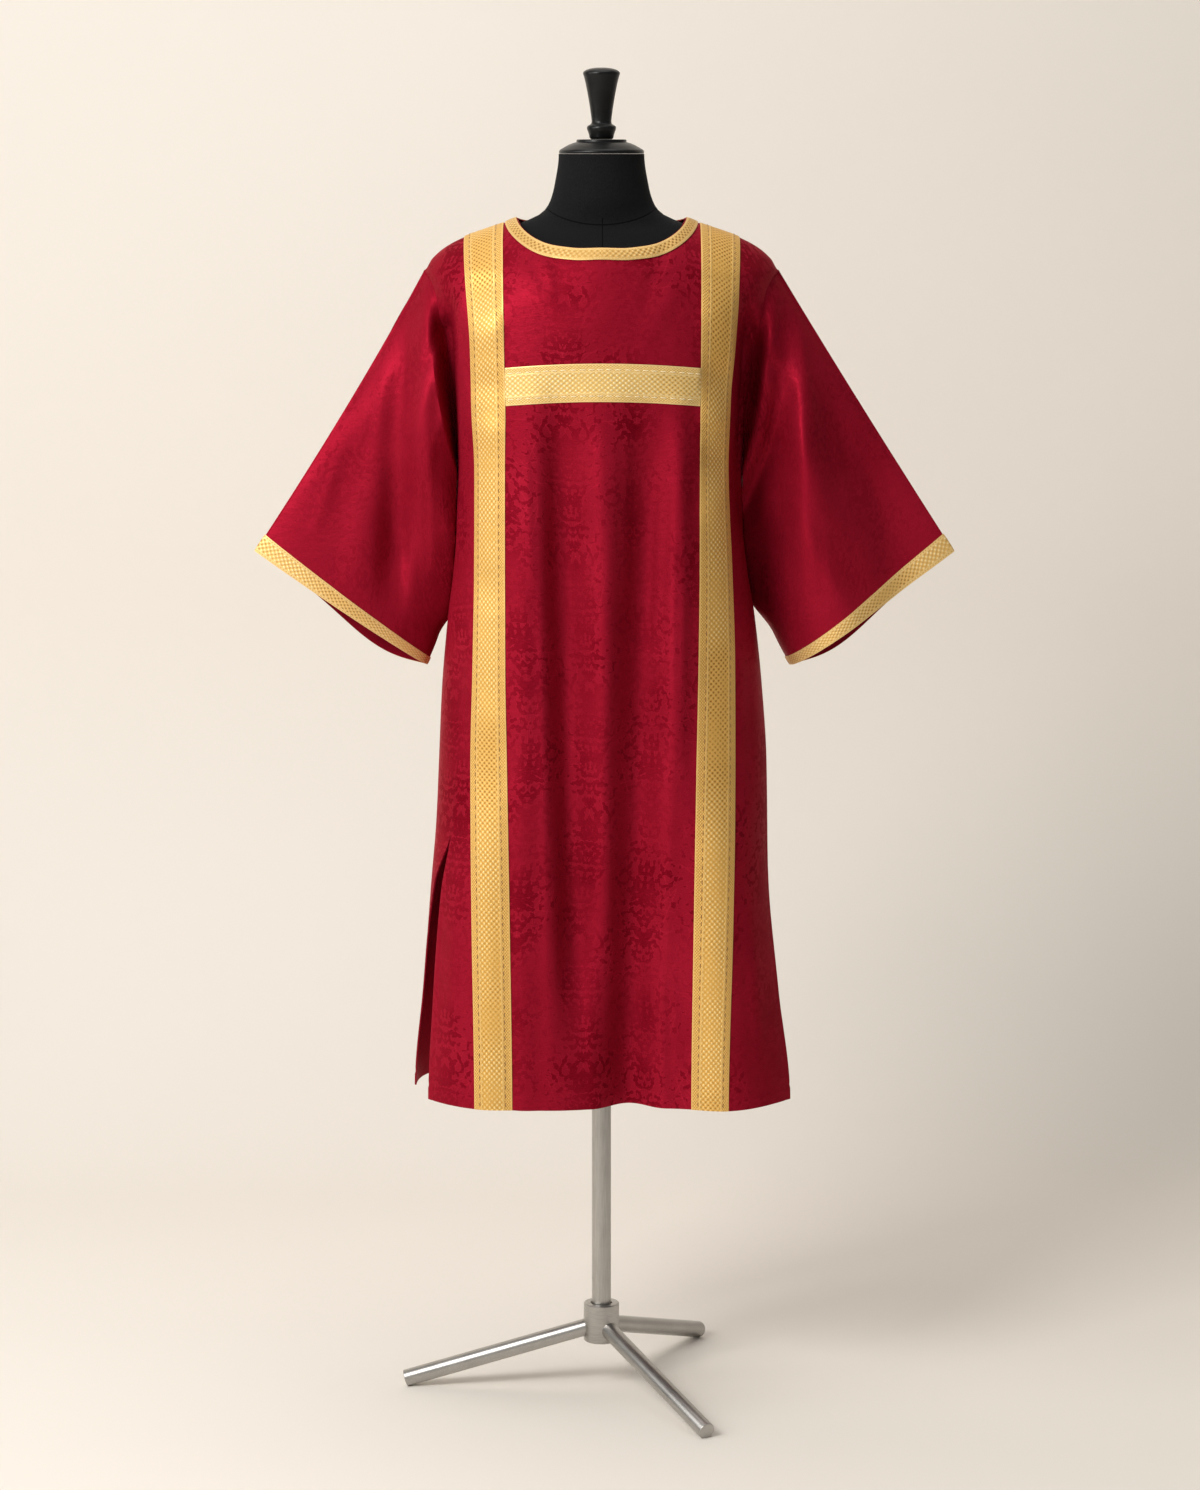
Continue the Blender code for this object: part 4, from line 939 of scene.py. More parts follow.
SLEEVE_GRIDS = {}
for side, name in (("r", "right"), ("l", "left")):
    laid = sleeve_points(side)
    normals = surface_normals(laid, closed=True)
    SLEEVE_GRIDS[side] = (laid, normals)
    sleeve = shell(f"sleeve_{name}_cloth", laid, laid - normals * CLOTH,
                   cloth_map(laid, closed=True), CRIMSON, closed=True)
    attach(sleeve, "root")
    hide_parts(f"sleeve_{name}")

# ---------------------------------------------------------------- bands over the shoulders
# Two lengths of wide gold galloon, each in one piece from the front hem over the shoulder to the
# back hem.  The braid has a field of raised diamonds between two ribs, and a patterned border.

# The braid's thickness, its lift off the cloth, and its ribs and stitches measured from its edge.
BRAID = 0.0010
BAND_LIFT = 0.0005
GALLOON_WIDTH = 0.050
RIB_IN = 0.0108
STITCH_IN = 0.0080
DIAMOND_ACROSS = 0.0065
DIAMOND_ALONG = 0.0077
EDGING_ACROSS = 0.0031
EDGING_ALONG = 0.0044
SELVEDGE = 0.0012
RIB_RISE = 0.0004
RIB_HALF_WIDTH = 0.0011
BAND_STEPS = 36


# A galloon's light colour is painted highlight on its raised knots, and its dark colour painted
# shade in its pits.
def galloon_finish(name, width, border, light, middle, dark):
    finish = Finish(name, Metallic=0.30, Specular_IOR_Level=0.3,
                    Specular_Tint=(1.0, 0.72, 0.36, 1.0))
    u, v = finish.across_and_along()
    place = finish.place()
    from_edge = width / 2 - abs(u)
    sway = finish.noise(place, 60.0, 1.0, 0.5) * 0.0016 - 0.0008
    dots = ((u * (2 * math.pi / DIAMOND_ACROSS) + math.pi / 2).sine()
            * (v * (2 * math.pi / DIAMOND_ALONG) + math.pi / 2).sine())
    knots_with_painted_highlight = dots.step(0.10, 0.75)
    pits_with_painted_shade = (0.0 - dots).step(0.15, 0.80)
    raised = finish.noise(place, 4.5, 1.0, 0.5).step(0.42, 0.58)
    worn = finish.noise(place, 19.0, 2.0, 0.5).step(0.25, 0.60) * 0.55 + 0.45
    field = (from_edge + sway).step(border + 0.0006, border + 0.0014)
    fine = (u * (2 * math.pi / EDGING_ACROSS)).sine() * (v * (2 * math.pi / EDGING_ALONG)).sine()
    edging = fine.step(0.2, 0.8) * 0.6 - (0.0 - fine).step(0.2, 0.8) * 0.6
    rib = 1.0 - abs(from_edge + sway - border).step(0.0005, 0.0012)
    selvedge = 1.0 - from_edge.step(0.0010, 0.0020)
    plain = rib.most(selvedge)
    grain = finish.noise(finish.stretched(finish.flat, (620.0, 620.0, 1.0)), 1.0, 3.0, 0.6)
    # The raised knots are painted lighter, a painted highlight, and the pits darker, painted
    # shade; the border's fine knots and hollows are painted the same way.  The same relief also
    # drives the bump.
    weave = knots_with_painted_highlight * (raised * 0.8 + 0.2) - pits_with_painted_shade * (1.0 - raised * 0.6)
    relief = (weave * field * worn + edging * (1.0 - field)) * (1.0 - plain) + plain * 0.30
    tone = relief * 0.34 + 0.50 + (grain - 0.5) * 0.34
    colour = finish.ramp(tone, (0.14, dark), (0.50, middle), (0.84, light))
    finish.feed(Base_Color=colour, Roughness=0.42 - relief * 0.10 + grain * 0.08)
    threads = finish.bump(grain, 0.00025, 0.5)
    finish.feed(Normal=finish.bump(relief, 0.0006, 0.7, under=threads))
    return finish.material


# The lightest of these colours is painted highlight on the knots, and the darkest painted shade in
# the pits.
GALLOON = galloon_finish("wide_galloon", GALLOON_WIDTH, RIB_IN,
                         (0.97, 0.74, 0.35), (0.74, 0.42, 0.100), (0.36, 0.15, 0.026))


def braid_relief(share, width):
    """The braid's own section: thin at the selvedges, with a rib inside each border."""
    from_edge = np.minimum(share, 1.0 - share) * width
    body = BRAID * (0.55 + 0.45 * smooth_step(from_edge / SELVEDGE))
    return body + RIB_RISE * np.exp(-((from_edge - RIB_IN) / RIB_HALF_WIDTH) ** 2)


def braid_map(points, width, closed=False):
    """Metres across the braid and metres along it, for points laid in rows along its length."""
    ring = np.concatenate([points, points[:1]]) if closed else points
    middle = ring[:, ring.shape[1] // 2]
    along = np.concatenate([[0.0], np.cumsum(np.linalg.norm(np.diff(middle, axis=0), axis=1))])
    across = (np.linspace(0.0, 1.0, points.shape[1]) - 0.5) * width
    return np.stack(np.meshgrid(across, along), axis=-1)


def band_points(lane):
    """A band's rows run from the front hem over the shoulder to the back hem."""
    fine = {part: count * 2 for part, count in ROW_COUNTS.items()}
    share = np.linspace(0.0, 1.0, BAND_STEPS + 1)
    lengths, facings = [], []
    for panel in ("front", "back"):
        lane_here = np.full(len(share), lane)
        heights = column_heights(panel, top_across(panel, lane_here, share), fine)
        laid = body_surface(panel, lane_angle(panel, lane_here, share, heights), heights)
        normals = surface_normals(laid)
        lengths.append(laid)
        facings.append(-normals if panel == "back" else normals)
    for at in range(len(share)):
        mean = facings[0][0, at] + facings[1][0, at]
        facings[0][0, at] = facings[1][0, at] = mean / np.linalg.norm(mean)
    points = np.concatenate([lengths[0][::-1], lengths[1]])
    return points, np.concatenate([facings[0][::-1], facings[1]]), share


STITCH_RINGS = ((0.0, -0.5), (0.18, 0.5), (0.5, 1.0), (0.82, 0.5), (1.0, -0.5))
STITCH_SIDES = 6


def stitch_line(vertices, faces, line, normals, stitch, gap, thick):
    """Running stitches: each is a short flat thread that dips into the cloth at both ends."""
    along = np.concatenate([[0.0], np.cumsum(np.linalg.norm(np.diff(line, axis=0), axis=1))])
    sides, last = STITCH_SIDES, len(STITCH_RINGS) - 1
    start = gap
    while start + stitch < along[-1]:
        centres = [start + stitch * place for place, _ in STITCH_RINGS]
        at = np.stack([np.interp(centres, along, line[:, axis]) for axis in range(3)], axis=1)
        up = np.stack([np.interp(centres, along, normals[:, axis]) for axis in range(3)], axis=1)
        forward = np.gradient(at, axis=0)
        forward /= np.linalg.norm(forward, axis=1, keepdims=True)
        aside = np.cross(forward, up)
        first = len(vertices)
        for ring, (_, arch) in enumerate(STITCH_RINGS):
            size = thick * (0.55 if ring in (0, last) else 1.0)
            for side in range(sides):
                turn = 2 * math.pi * side / sides
                rise = math.sin(turn) * size * 0.6 + arch * thick
                offset = aside[ring] * math.cos(turn) * size + up[ring] * rise
                vertices.append(tuple(at[ring] + offset))
        for ring in range(last):
            for side in range(sides):
                a, b = first + ring * sides + side, first + ring * sides + (side + 1) % sides
                faces.append((a, b, b + sides, a + sides))
        faces.append(tuple(range(first, first + sides))[::-1])
        faces.append(tuple(range(first + last * sides, first + (last + 1) * sides)))
        start += stitch + gap * (1.0 + 0.25 * math.sin(start * 97.0))


def thread_piece(name, vertices, faces, finish):
    mesh = bpy.data.meshes.new(name)
    mesh.from_pydata(vertices, [], faces)
    mesh.materials.append(finish)
    piece = closed_piece(mesh)
    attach(piece, "root")
    return piece


def thread_finish(name, light, dark):
    finish = Finish(name, Sheen_Weight=0.2)
    twist = finish.noise(finish.place(), 900.0, 2.0, 0.6)
    colour = finish.ramp(twist, (0.3, dark), (0.7, light))
    finish.feed(Base_Color=colour, Roughness=0.45 + twist * 0.2,
                Normal=finish.bump(twist, 0.0002, 0.6))
    return finish.material


# The bands' thread is painted a dark bronze: partly its own colour, and partly painted shade for
# the dimples its stitches pull into the braid.
BAND_THREAD_WITH_PAINTED_SHADE = thread_finish("bronze_thread_with_painted_shade", (0.36, 0.17, 0.040), (0.20, 0.08, 0.015))
BAND_STITCH = {"stitch": 0.0066, "gap": 0.0046, "thick": 0.00050}
BANDS = {}
for name, lane in (("right", 1), ("left", 5)):
    laid, normals, share = band_points(lane)
    under = laid + normals * BAND_LIFT
    outer = under + normals * braid_relief(share, GALLOON_WIDTH)[None, :, None]
    band = shell(f"band_{name}_galloon", outer, under, braid_map(laid, GALLOON_WIDTH), GALLOON)
    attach(band, "root")
    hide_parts(f"band_{name}")
    vertices, faces = [], []
    for inset in (STITCH_IN, GALLOON_WIDTH - STITCH_IN):
        column = round(inset / GALLOON_WIDTH * BAND_STEPS)
        stitch_line(vertices, faces, outer[:, column], normals[:, column], **BAND_STITCH)
    thread = thread_piece(f"band_{name}_stitches", vertices, faces, BAND_THREAD_WITH_PAINTED_SHADE)
    BANDS[name] = (band, thread)

# ---------------------------------------------------------------- crossbar
# A short length of the same galloon crosses the chest between the bands, its ends tucked
# under them.  Its colours are painted paler than the bands', a lit copy of the galloon that
# stands for the stronger light on the chest.  Its running stitches are in a paler thread.

BAR_STEPS = {"across": 150, "down": 32}
BAR_END_GAP = 0.0006
BAR_STITCH = {"stitch": 0.0084, "gap": 0.0036, "thick": 0.00060}
# These galloon colours are painted paler than the bands', standing for the stronger light on the
# chest.
BAR_GALLOON_PAINTED_LIGHTER = galloon_finish("crossbar_galloon_painted_lighter", BAR_WIDTH, RIB_IN,
                             (1.0, 0.85, 0.52), (0.84, 0.55, 0.18), (0.46, 0.24, 0.06))
BAR_THREAD = thread_finish("pale_gold_thread", (1.0, 0.88, 0.60), (0.92, 0.72, 0.38))


def bar_points():
    down = np.linspace(0.0, 1.0, BAR_STEPS["down"] + 1)[:, None]
    share = np.linspace(0.0, 1.0, BAR_STEPS["across"] + 1)[None, :]
    z = BAR_TOP - BAR_WIDTH * down
    start = -size_at(BAND_EDGES, "r_inner", z) + BAR_END_GAP
    end = size_at(BAND_EDGES, "l_inner", z) - BAR_END_GAP
    x = start + (end - start) * share
    z = bar_top(x) - BAR_WIDTH * down
    return body_surface("front", section_angle("front", x, z), z)


def map_along_rows(points, width, closed=False):
    """The braid's map, for points laid in rows across its length."""
    return np.swapaxes(braid_map(np.swapaxes(points, 0, 1), width, closed), 0, 1)


laid = bar_points()
normals = surface_normals(laid)
under = laid + normals * BAND_LIFT
depth = np.linspace(0.0, 1.0, BAR_STEPS["down"] + 1)
outer = under + normals * braid_relief(depth, BAR_WIDTH)[:, None, None]
crossbar = shell("crossbar_galloon_painted_lighter", outer, under, map_along_rows(laid, BAR_WIDTH), BAR_GALLOON_PAINTED_LIGHTER)
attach(crossbar, "root")
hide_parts("chest_crossbar")
vertices, faces = [], []
for inset in (STITCH_IN, BAR_WIDTH - STITCH_IN):
    row = round(inset / BAR_WIDTH * BAR_STEPS["down"])
    stitch_line(vertices, faces, outer[row], normals[row], **BAR_STITCH)
crossbar_thread = thread_piece("crossbar_stitches", vertices, faces, BAR_THREAD)

# ---------------------------------------------------------------- neck binding
# Narrow galloon is laid round the neck opening over both panels, just back from the cloth's
# turned edge, so that a red line of the damask shows inside it.

BINDING_GALLOON = galloon_finish("narrow_galloon", BINDING_WIDTH, 0.0020,
                                 (0.92, 0.70, 0.34), (0.64, 0.38, 0.115), (0.28, 0.13, 0.028))
BINDING_STEPS = 320
BINDING_ROWS = 12
BINDING_LIFT = 0.0008
# Shares of the binding's width where the braid starts and ends.
BINDING_FROM, BINDING_TO = 0.06, 0.97
NARROW_EDGE = 0.0006
NARROW_CROWN = 0.0006


def binding_points():
    turns = 2 * math.pi * np.arange(BINDING_STEPS) / BINDING_STEPS
    rows = []
    for inset in np.linspace(BINDING_FROM, BINDING_TO, BINDING_ROWS + 1):
        x = (NECK_HALF + BINDING_WIDTH * inset) * np.sin(turns)
        ring = np.zeros((BINDING_STEPS, 3))
        for panel, chosen in (("front", np.cos(turns) > 0), ("back", np.cos(turns) <= 0)):
            z = shoulder_height(x[chosen]) - neck_drop(panel, x[chosen], inset)
            ring[chosen] = body_surface(panel, section_angle(panel, x[chosen], z), z)
        rows.append(ring)
    return np.array(rows)


def narrow_braid(name, laid, normals, lift, width, finish):
    """A ring of narrow galloon, a little crowned between its two selvedges."""
    under = laid + normals * lift
    share = np.linspace(0.0, 1.0, len(laid))
    crown = NARROW_EDGE + NARROW_CROWN * np.sin(math.pi * share) ** 0.5
    mapped = map_along_rows(laid, width, closed=True)
    return shell(name, under + normals * crown[:, None, None], under, mapped, finish, closed=True)


laid = binding_points()
normals = surface_normals(laid, closed=True)
binding = narrow_braid("neck_galloon", laid, normals, BINDING_LIFT, BINDING_WIDTH, BINDING_GALLOON)
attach(binding, "root")
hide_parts("neck_binding")

# ---------------------------------------------------------------- cuff bands
# A galloon a little wider than the neck's, with a broader border, goes round each cuff.  It lies
# flush with the sleeve's edge and is joined at the underarm seam.

CUFF_GALLOON = galloon_finish("cuff_galloon", CUFF_WIDTH, 0.0034,
                              (1.0, 0.80, 0.42), (0.80, 0.49, 0.155), (0.40, 0.19, 0.045))
for side, name in (("r", "right"), ("l", "left")):
    laid, normals = (grid[-CUFF_ROWS - 1:] for grid in SLEEVE_GRIDS[side])
    cuff = narrow_braid(f"cuff_{name}_galloon", laid, normals, BAND_LIFT, CUFF_WIDTH, CUFF_GALLOON)
    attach(cuff, "root")
    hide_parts(f"cuff_band_{name}")

# ---------------------------------------------------------------- dress form torso
# The form is a firm padded torso with no limbs, covered in black jersey with a seam at the base
# of the neck and one down the centre front.

FORM = {
    "columns": ("height", "across", "front", "back"),
    "rows": (
        (0.780, 0.1560, 0.100, 0.106), (0.820, 0.1640, 0.106, 0.114),
        (0.880, 0.1680, 0.112, 0.120), (0.940, 0.1640, 0.114, 0.119),
        (1.020, 0.1480, 0.110, 0.110), (1.100, 0.1360, 0.106, 0.100),
        (1.180, 0.1420, 0.112, 0.103), (1.260, 0.1560, 0.122, 0.108),
        (1.330, 0.1640, 0.128, 0.112), (1.400, 0.1740, 0.127, 0.114),
        (1.450, 0.1850, 0.124, 0.114), (1.500, 0.1940, 0.120, 0.110),
        (1.540, 0.1950, 0.112, 0.104), (1.566, 0.1860, 0.098, 0.092),
        (1.586, 0.1640, 0.083, 0.081), (1.602, 0.1320, 0.070, 0.070),
        (1.613, 0.1040, 0.062, 0.063), (1.626, 0.0785, 0.0630, 0.063),
        (1.640, 0.0690, 0.0645, 0.064), (1.660, 0.0632, 0.0620, 0.062),
        (1.703, 0.0572, 0.0572, 0.0572),
    ),
}
FORM_BOTTOM = 0.780
FORM_TOP = 1.703
FORM_STEPS = 128
FORM_RINGS = 150
# The base-of-neck seam's height at the middle, its lean from front to back and its dip outwards.
NECK_SEAM = 1.6200
NECK_SEAM_LEAN = -0.16
NECK_SEAM_DIP = 2.6
FRONT_SEAM_AT = 0.0015


def jersey_finish():
    finish = Finish("black_jersey", Sheen_Weight=0.02, Sheen_Roughness=0.5,
                    Sheen_Tint=(0.85, 0.88, 0.92, 1.0), Specular_IOR_Level=0.06)
    place = finish.place()
    x, y, z = (finish.part(place, axis) for axis in range(3))
    knit = finish.noise(finish.stretched(place, (900.0, 900.0, 420.0)), 1.0, 2.0, 0.6)
    off_neck_seam = z - NECK_SEAM + y * NECK_SEAM_LEAN - x * x * NECK_SEAM_DIP
    neck_seam = 1.0 - abs(off_neck_seam).step(0.0004, 0.0012)
    below_neck = 1.0 - z.step(NECK_SEAM - 0.0020, NECK_SEAM)
    in_front = 1.0 - y.step(-0.010, 0.0)
    front_seam = (1.0 - abs(x - FRONT_SEAM_AT).step(0.0003, 0.0010)) * below_neck * in_front
    seam = neck_seam.most(front_seam)
    tone = knit * 0.9 - seam * 0.5
    colour = finish.ramp(tone, (0.0, (0.002, 0.002, 0.002)), (0.8, (0.013, 0.013, 0.014)))
    finish.feed(Base_Color=colour, Roughness=0.80 + knit * 0.12)
    cloth = finish.bump(knit, 0.0003, 0.5)
    finish.feed(Normal=finish.bump(1.0 - seam, 0.0010, 0.8, under=cloth))
    return finish.material


def start_ring(name, radius, height, steps):
    bpy.ops.object.select_all(action="DESELECT")
    bpy.ops.mesh.primitive_circle_add(vertices=steps, radius=radius, fill_type="NGON",
                                      location=(0, 0, height))
    piece = bpy.context.object
    piece.name = name
    bpy.ops.object.transform_apply(location=True, rotation=True, scale=True)
    bpy.ops.object.mode_set(mode="EDIT")
    bpy.ops.mesh.select_all(action="SELECT")
    return piece


def next_ring(rise, wider, height):
    bpy.ops.mesh.extrude_region_move(TRANSFORM_OT_translate={"value": (0.0, 0.0, rise)})
    bpy.ops.transform.resize(value=(wider, wider, 1.0), center_override=(0.0, 0.0, height))


def finish_solid(piece, finish, node, sharp=35):
    """Out of edit mode, with faces outwards and its finish, standing in for the node, which is
    hidden.
    """
    bpy.ops.mesh.select_all(action="SELECT")
    bpy.ops.mesh.normals_make_consistent(inside=False)
    bpy.ops.object.mode_set(mode="OBJECT")
    bpy.ops.object.shade_smooth_by_angle(angle=math.radians(sharp))
    piece.data.materials.clear()
    piece.data.materials.append(finish)
    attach(piece, "root")
    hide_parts(node)


def turned(name, profile, steps):
    """A round solid, left in edit mode, through a profile's radii and heights from the bottom."""
    piece = start_ring(name, *profile[0], steps)
    for (radius, height), (next_radius, next_height) in zip(profile, profile[1:]):
        next_ring(next_height - height, next_radius / radius, next_height)
    return piece


heights = np.linspace(FORM_BOTTOM, FORM_TOP, FORM_RINGS)
form = turned("dress_form", list(zip(size_at(FORM, "across", heights), heights)), FORM_STEPS)
finish_solid(form, jersey_finish(), "dress_form_torso", sharp=60)
for vertex in form.data.vertices:
    section = "front" if vertex.co.y < 0 else "back"
    depth, width = (size_at(FORM, name, vertex.co.z) for name in (section, "across"))
    vertex.co.y *= float(depth / width)

# ---------------------------------------------------------------- neck cap and finial
# The cap and the finial are turned from close-grained wood and lacquered black.  The cap closes
# the neck, and the finial is screwed down on it over the end of the pole.

CAP_PROFILE = (
    (0.0562, 1.7033), (0.0568, 1.7045), (0.0569, 1.7060), (0.0565, 1.7072),
    (0.0556, 1.7083), (0.0545, 1.7090), (0.0520, 1.7105), (0.0480, 1.7128),
    (0.0440, 1.7150), (0.0390, 1.7170), (0.0345, 1.7182), (0.0335, 1.7188),
    (0.0334, 1.7205), (0.0332, 1.7214), (0.0326, 1.7219), (0.0310, 1.7221),
)
FINIAL_PROFILE = (
    (0.0140, 1.7223), (0.0158, 1.7240), (0.0164, 1.7262), (0.0170, 1.7290),
    (0.0182, 1.7325), (0.0192, 1.7350), (0.0195, 1.7368), (0.0193, 1.7385),
    (0.0186, 1.7397), (0.0168, 1.7408), (0.0150, 1.7418), (0.0138, 1.7432),
    (0.0132, 1.7448), (0.0132, 1.7470), (0.0138, 1.7520), (0.0154, 1.7640),
    (0.0172, 1.7750), (0.0192, 1.7860), (0.0212, 1.7960), (0.0232, 1.8040),
    (0.0244, 1.8076), (0.0247, 1.8092), (0.0243, 1.8106), (0.0230, 1.8120),
    (0.0205, 1.8136), (0.0165, 1.8150), (0.0120, 1.8159), (0.0070, 1.8165),
    (0.0020, 1.8167),
)
TURNED_STEPS = 96


def lacquer_finish():
    finish = Finish("black_lacquered_wood", Coat_Weight=0.14, Coat_Roughness=0.20,
                    Specular_IOR_Level=0.22)
    place = finish.place()
    rings = finish.noise(finish.stretched(place, (60.0, 60.0, 900.0)), 1.0, 2.0, 0.5)
    blotch = finish.noise(place, 60.0, 2.0, 0.5)
    colour = finish.ramp(blotch, (0.3, (0.002, 0.002, 0.002)), (0.7, (0.006, 0.006, 0.006)))
    finish.feed(Base_Color=colour, Roughness=0.30 + blotch * 0.14,
                Normal=finish.bump(rings, 0.0002, 0.35))
    return finish.material


LACQUER = lacquer_finish()


cap = turned("cap", CAP_PROFILE, TURNED_STEPS)
finish_solid(cap, LACQUER, "neck_cap", sharp=50)
finial = turned("finial_knob", FINIAL_PROFILE, TURNED_STEPS)
finish_solid(finial, LACQUER, "finial", sharp=50)

# ---------------------------------------------------------------- pole, hub and legs
# The stand is brushed steel tube.  The pole drops into a bored hub, and three plain legs with
# chamfered ends are pushed into sockets round it and rest on the floor.

POLE_RADIUS = 0.0132
POLE_TOP = 0.7797
HUB_RADIUS = 0.0246
HUB_BOTTOM = 0.0660
HUB_TOP = 0.1200
HUB_CHAMFER = 0.0012
HUB_BORE = 0.0146
HUB_BORE_FLOOR = 0.1040
BORE_CHAMFER = 0.0006
LEG_RADIUS = 0.0117
LEG_REACH = 0.2740
LEG_END_HEIGHT = 0.0102
LEG_ROOT_HEIGHT = 0.0835
LEG_SOCKET = 0.004
LEG_CHAMFER = 0.0010
LEG_FLAT = 0.0001
LEG_ANGLES = {"leg_right": 180.0, "leg_front": -59.0, "leg_back": 59.0}
TUBE_STEPS = 64


def steel_finish(name, stretch):
    finish = Finish(name, Metallic=1.0)
    place = finish.place()
    brushed = finish.noise(finish.stretched(place, stretch), 1.0, 3.0, 0.6)
    smears = finish.noise(place, 18.0, 3.0, 0.6)
    tone = brushed * 0.6 + smears * 0.4
    colour = finish.ramp(tone, (0.25, (0.33, 0.315, 0.295)), (0.75, (0.56, 0.545, 0.52)))
    finish.feed(Base_Color=colour, Roughness=0.27 + smears * 0.14,
                Normal=finish.bump(brushed, 0.0001, 0.35))
    return finish.material


POLE_PROFILE = ((POLE_RADIUS, HUB_BORE_FLOOR + SEAM), (POLE_RADIUS, POLE_TOP))
pole = turned("pole_tube", POLE_PROFILE, TUBE_STEPS)
POLE_STEEL = steel_finish("brushed_steel_pole", (900.0, 900.0, 30.0))
finish_solid(pole, POLE_STEEL, "pole")

# The hub's outside is turned up to its top, and its bore down from there.
HUB_PROFILE = ((HUB_RADIUS - HUB_CHAMFER, HUB_BOTTOM), (HUB_RADIUS, HUB_BOTTOM + HUB_CHAMFER),
               (HUB_RADIUS, HUB_TOP - HUB_CHAMFER), (HUB_RADIUS - HUB_CHAMFER, HUB_TOP),
               (HUB_BORE + BORE_CHAMFER, HUB_TOP), (HUB_BORE, HUB_TOP - BORE_CHAMFER),
               (HUB_BORE, HUB_BORE_FLOOR))
hub = turned("hub_socket", HUB_PROFILE, TUBE_STEPS)
HUB_STEEL = steel_finish("brushed_steel_hub", (60.0, 60.0, 900.0))
finish_solid(hub, HUB_STEEL, "hub", sharp=30)

slope = math.atan2(LEG_ROOT_HEIGHT - LEG_END_HEIGHT, LEG_REACH - HUB_RADIUS)
inner = HUB_RADIUS - LEG_SOCKET
length = (LEG_REACH - inner) / math.cos(slope)
for node, angle in LEG_ANGLES.items():
    turn = math.radians(angle)
    bpy.ops.object.select_all(action="DESELECT")
    bpy.ops.mesh.primitive_cylinder_add(vertices=TUBE_STEPS, radius=LEG_RADIUS, depth=length,
                                        location=(0, 0, 0))
    leg = bpy.context.object
    leg.name = f"{node}_tube"
    bpy.ops.object.mode_set(mode="EDIT")
    bpy.ops.mesh.select_all(action="DESELECT")
    bpy.ops.object.mode_set(mode="OBJECT")
    for edge in leg.data.edges:
        edge.select = all(leg.data.vertices[v].co.z > 0 for v in edge.vertices)
    bpy.ops.object.mode_set(mode="EDIT")
    bpy.ops.mesh.bevel(offset=LEG_CHAMFER, segments=3, affect="EDGES")
    bpy.ops.object.mode_set(mode="OBJECT")
    middle = (LEG_REACH + inner) / 2
    drop = (middle - HUB_RADIUS) * math.tan(slope)
    centre = (middle * math.cos(turn), middle * math.sin(turn), LEG_ROOT_HEIGHT - drop)
    leg.data.transform(Matrix.Translation(centre) @ Matrix.Rotation(turn, 4, "Z")
                       @ Matrix.Rotation(math.pi / 2 + slope, 4, "Y"))
    bpy.ops.object.mode_set(mode="EDIT")
    bpy.ops.mesh.select_all(action="SELECT")
    bpy.ops.mesh.bisect(plane_co=(0, 0, LEG_FLAT), plane_no=(0, 0, -1), clear_outer=True,
                        use_fill=True)
    leg_steel = steel_finish(f"brushed_steel_{node}", (900.0, 900.0, 900.0))
    finish_solid(leg, leg_steel, node)

# ---------------------------------------------------------------- the bands, looked up again
# Each band and its stitches are looked up in turn, and nothing more is done with them.

for name in ("right", "left"):
    band, thread = BANDS[name]

# ---------------------------------------------------------------- floor, light and camera
# A pale seamless sweep is lit by a large soft key at the front left, two washes beside it and a
# soft light overhead.

SWEEP = {"half": 6.0, "near": -8.0, "far": 1.9, "top": 6.0, "bend": 0.9}


def sweep_finish():
    finish = Finish("pale_sweep", Specular_IOR_Level=0.1)
    tone = finish.noise(finish.place(), 1.5, 1.0, 0.4)
    colour = finish.ramp(tone, (0.2, (0.870, 0.818, 0.748)), (0.8, (0.885, 0.833, 0.763)))
    finish.feed(Base_Color=colour, Roughness=0.85 + tone * 0.05)
    return finish.material


bpy.ops.object.select_all(action="DESELECT")
bpy.ops.mesh.primitive_plane_add(size=1.0, location=(0, 0, 0))
sweep = bpy.context.object
sweep.name = "floor_sweep"
for vertex in sweep.data.vertices:
    vertex.co.x = math.copysign(SWEEP["half"], vertex.co.x)
    vertex.co.y = SWEEP["far"] if vertex.co.y > 0 else SWEEP["near"]
bpy.ops.object.mode_set(mode="EDIT")
bpy.ops.mesh.select_mode(type="EDGE")
bpy.ops.mesh.select_all(action="DESELECT")
bpy.ops.object.mode_set(mode="OBJECT")


def select_back_edge(piece):
    """The edge along the floor's far side, ready for edit mode."""
    for edge in piece.data.edges:
        ends = [piece.data.vertices[v].co for v in edge.vertices]
        edge.select = all(end.y > 0 and end.z < 0.01 for end in ends)
    bpy.ops.object.mode_set(mode="EDIT")


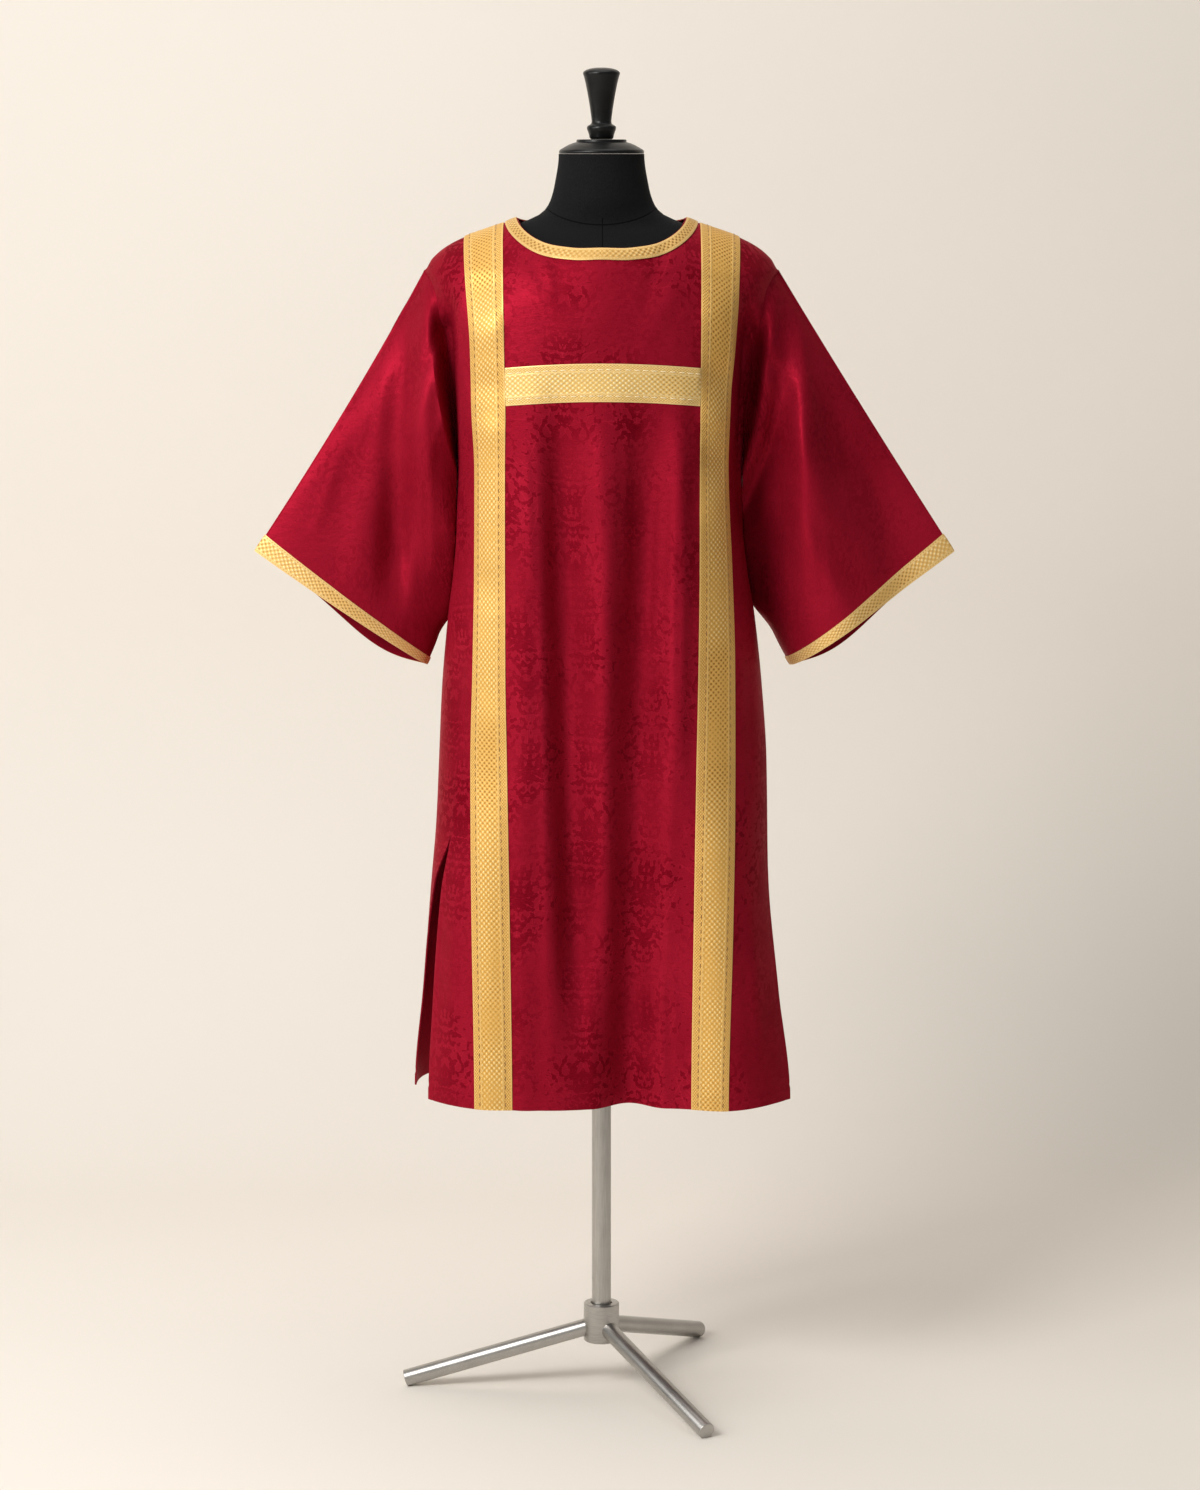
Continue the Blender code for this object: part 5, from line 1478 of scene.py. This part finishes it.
select_back_edge(sweep)
bpy.ops.mesh.extrude_region_move(TRANSFORM_OT_translate={"value": (0.0, 0.0, SWEEP["top"])})
bpy.ops.object.mode_set(mode="OBJECT")
select_back_edge(sweep)
bpy.ops.mesh.bevel(offset=SWEEP["bend"], segments=24, affect="EDGES")
bpy.ops.mesh.select_all(action="SELECT")
bpy.ops.mesh.normals_make_consistent(inside=True)
bpy.ops.object.mode_set(mode="OBJECT")
bpy.ops.object.shade_smooth()
sweep.data.materials.append(sweep_finish())


CHEST = (0.0, 0.0, 1.1)
# Each light: its place, what it is aimed at, its width and height, its power and its colour.
LIGHTS = {
    "key": ((-2.0, -2.6, 3.2), CHEST, 1.4, 1.4, 94.0, (1.0, 0.99, 0.97)),
    "front_wash": ((-2.9, -3.4, 2.9), CHEST, 1.6, 1.8, 30.0, (1.0, 0.99, 0.97)),
    "side_wash": ((-3.4, -1.4, 2.4), CHEST, 1.8, 2.4, 37.0, (1.0, 0.99, 0.975)),
    "top": ((0.0, 0.0, 4.3), (0.0, 0.2, 0.0), 2.4, 1.8, 33.0, (1.0, 0.99, 0.975)),
}
for name, (place, aim, width, height, power, colour) in LIGHTS.items():
    light = bpy.data.lights.new(name, "AREA")
    light.shape = "RECTANGLE"
    light.size, light.size_y = width, height
    light.energy = power
    light.color = colour
    lamp = bpy.data.objects.new(name, light)
    bpy.context.scene.collection.objects.link(lamp)
    lamp.location = place
    lamp.rotation_euler = (Vector(aim) - Vector(place)).to_track_quat("-Z", "Y").to_euler()

world = bpy.data.worlds.new("studio")
world.use_nodes = True
room_light = world.node_tree.nodes["Background"].inputs
room_light["Color"].default_value = (0.92, 0.91, 0.90, 1.0)
room_light["Strength"].default_value = 0.26
bpy.context.scene.world = world
bpy.context.scene.view_settings.view_transform = "Standard"

SENSOR_WIDTH = 36.0
FOCAL_LENGTH = 96.644295
CAMERA_PLACE = (-0.002, -5.4, 1.708)
CAMERA_TIPPED_DOWN = 8.46

lens = bpy.data.cameras.new("camera")
lens.sensor_width = SENSOR_WIDTH
lens.lens = FOCAL_LENGTH
camera = bpy.data.objects.new("camera", lens)
camera.location = CAMERA_PLACE
camera.rotation_euler = (math.radians(90.0 - CAMERA_TIPPED_DOWN), 0.0, 0.0)
bpy.context.scene.collection.objects.link(camera)
bpy.context.scene.camera = camera

for piece in bpy.context.scene.objects:
    piece.select_set(False)
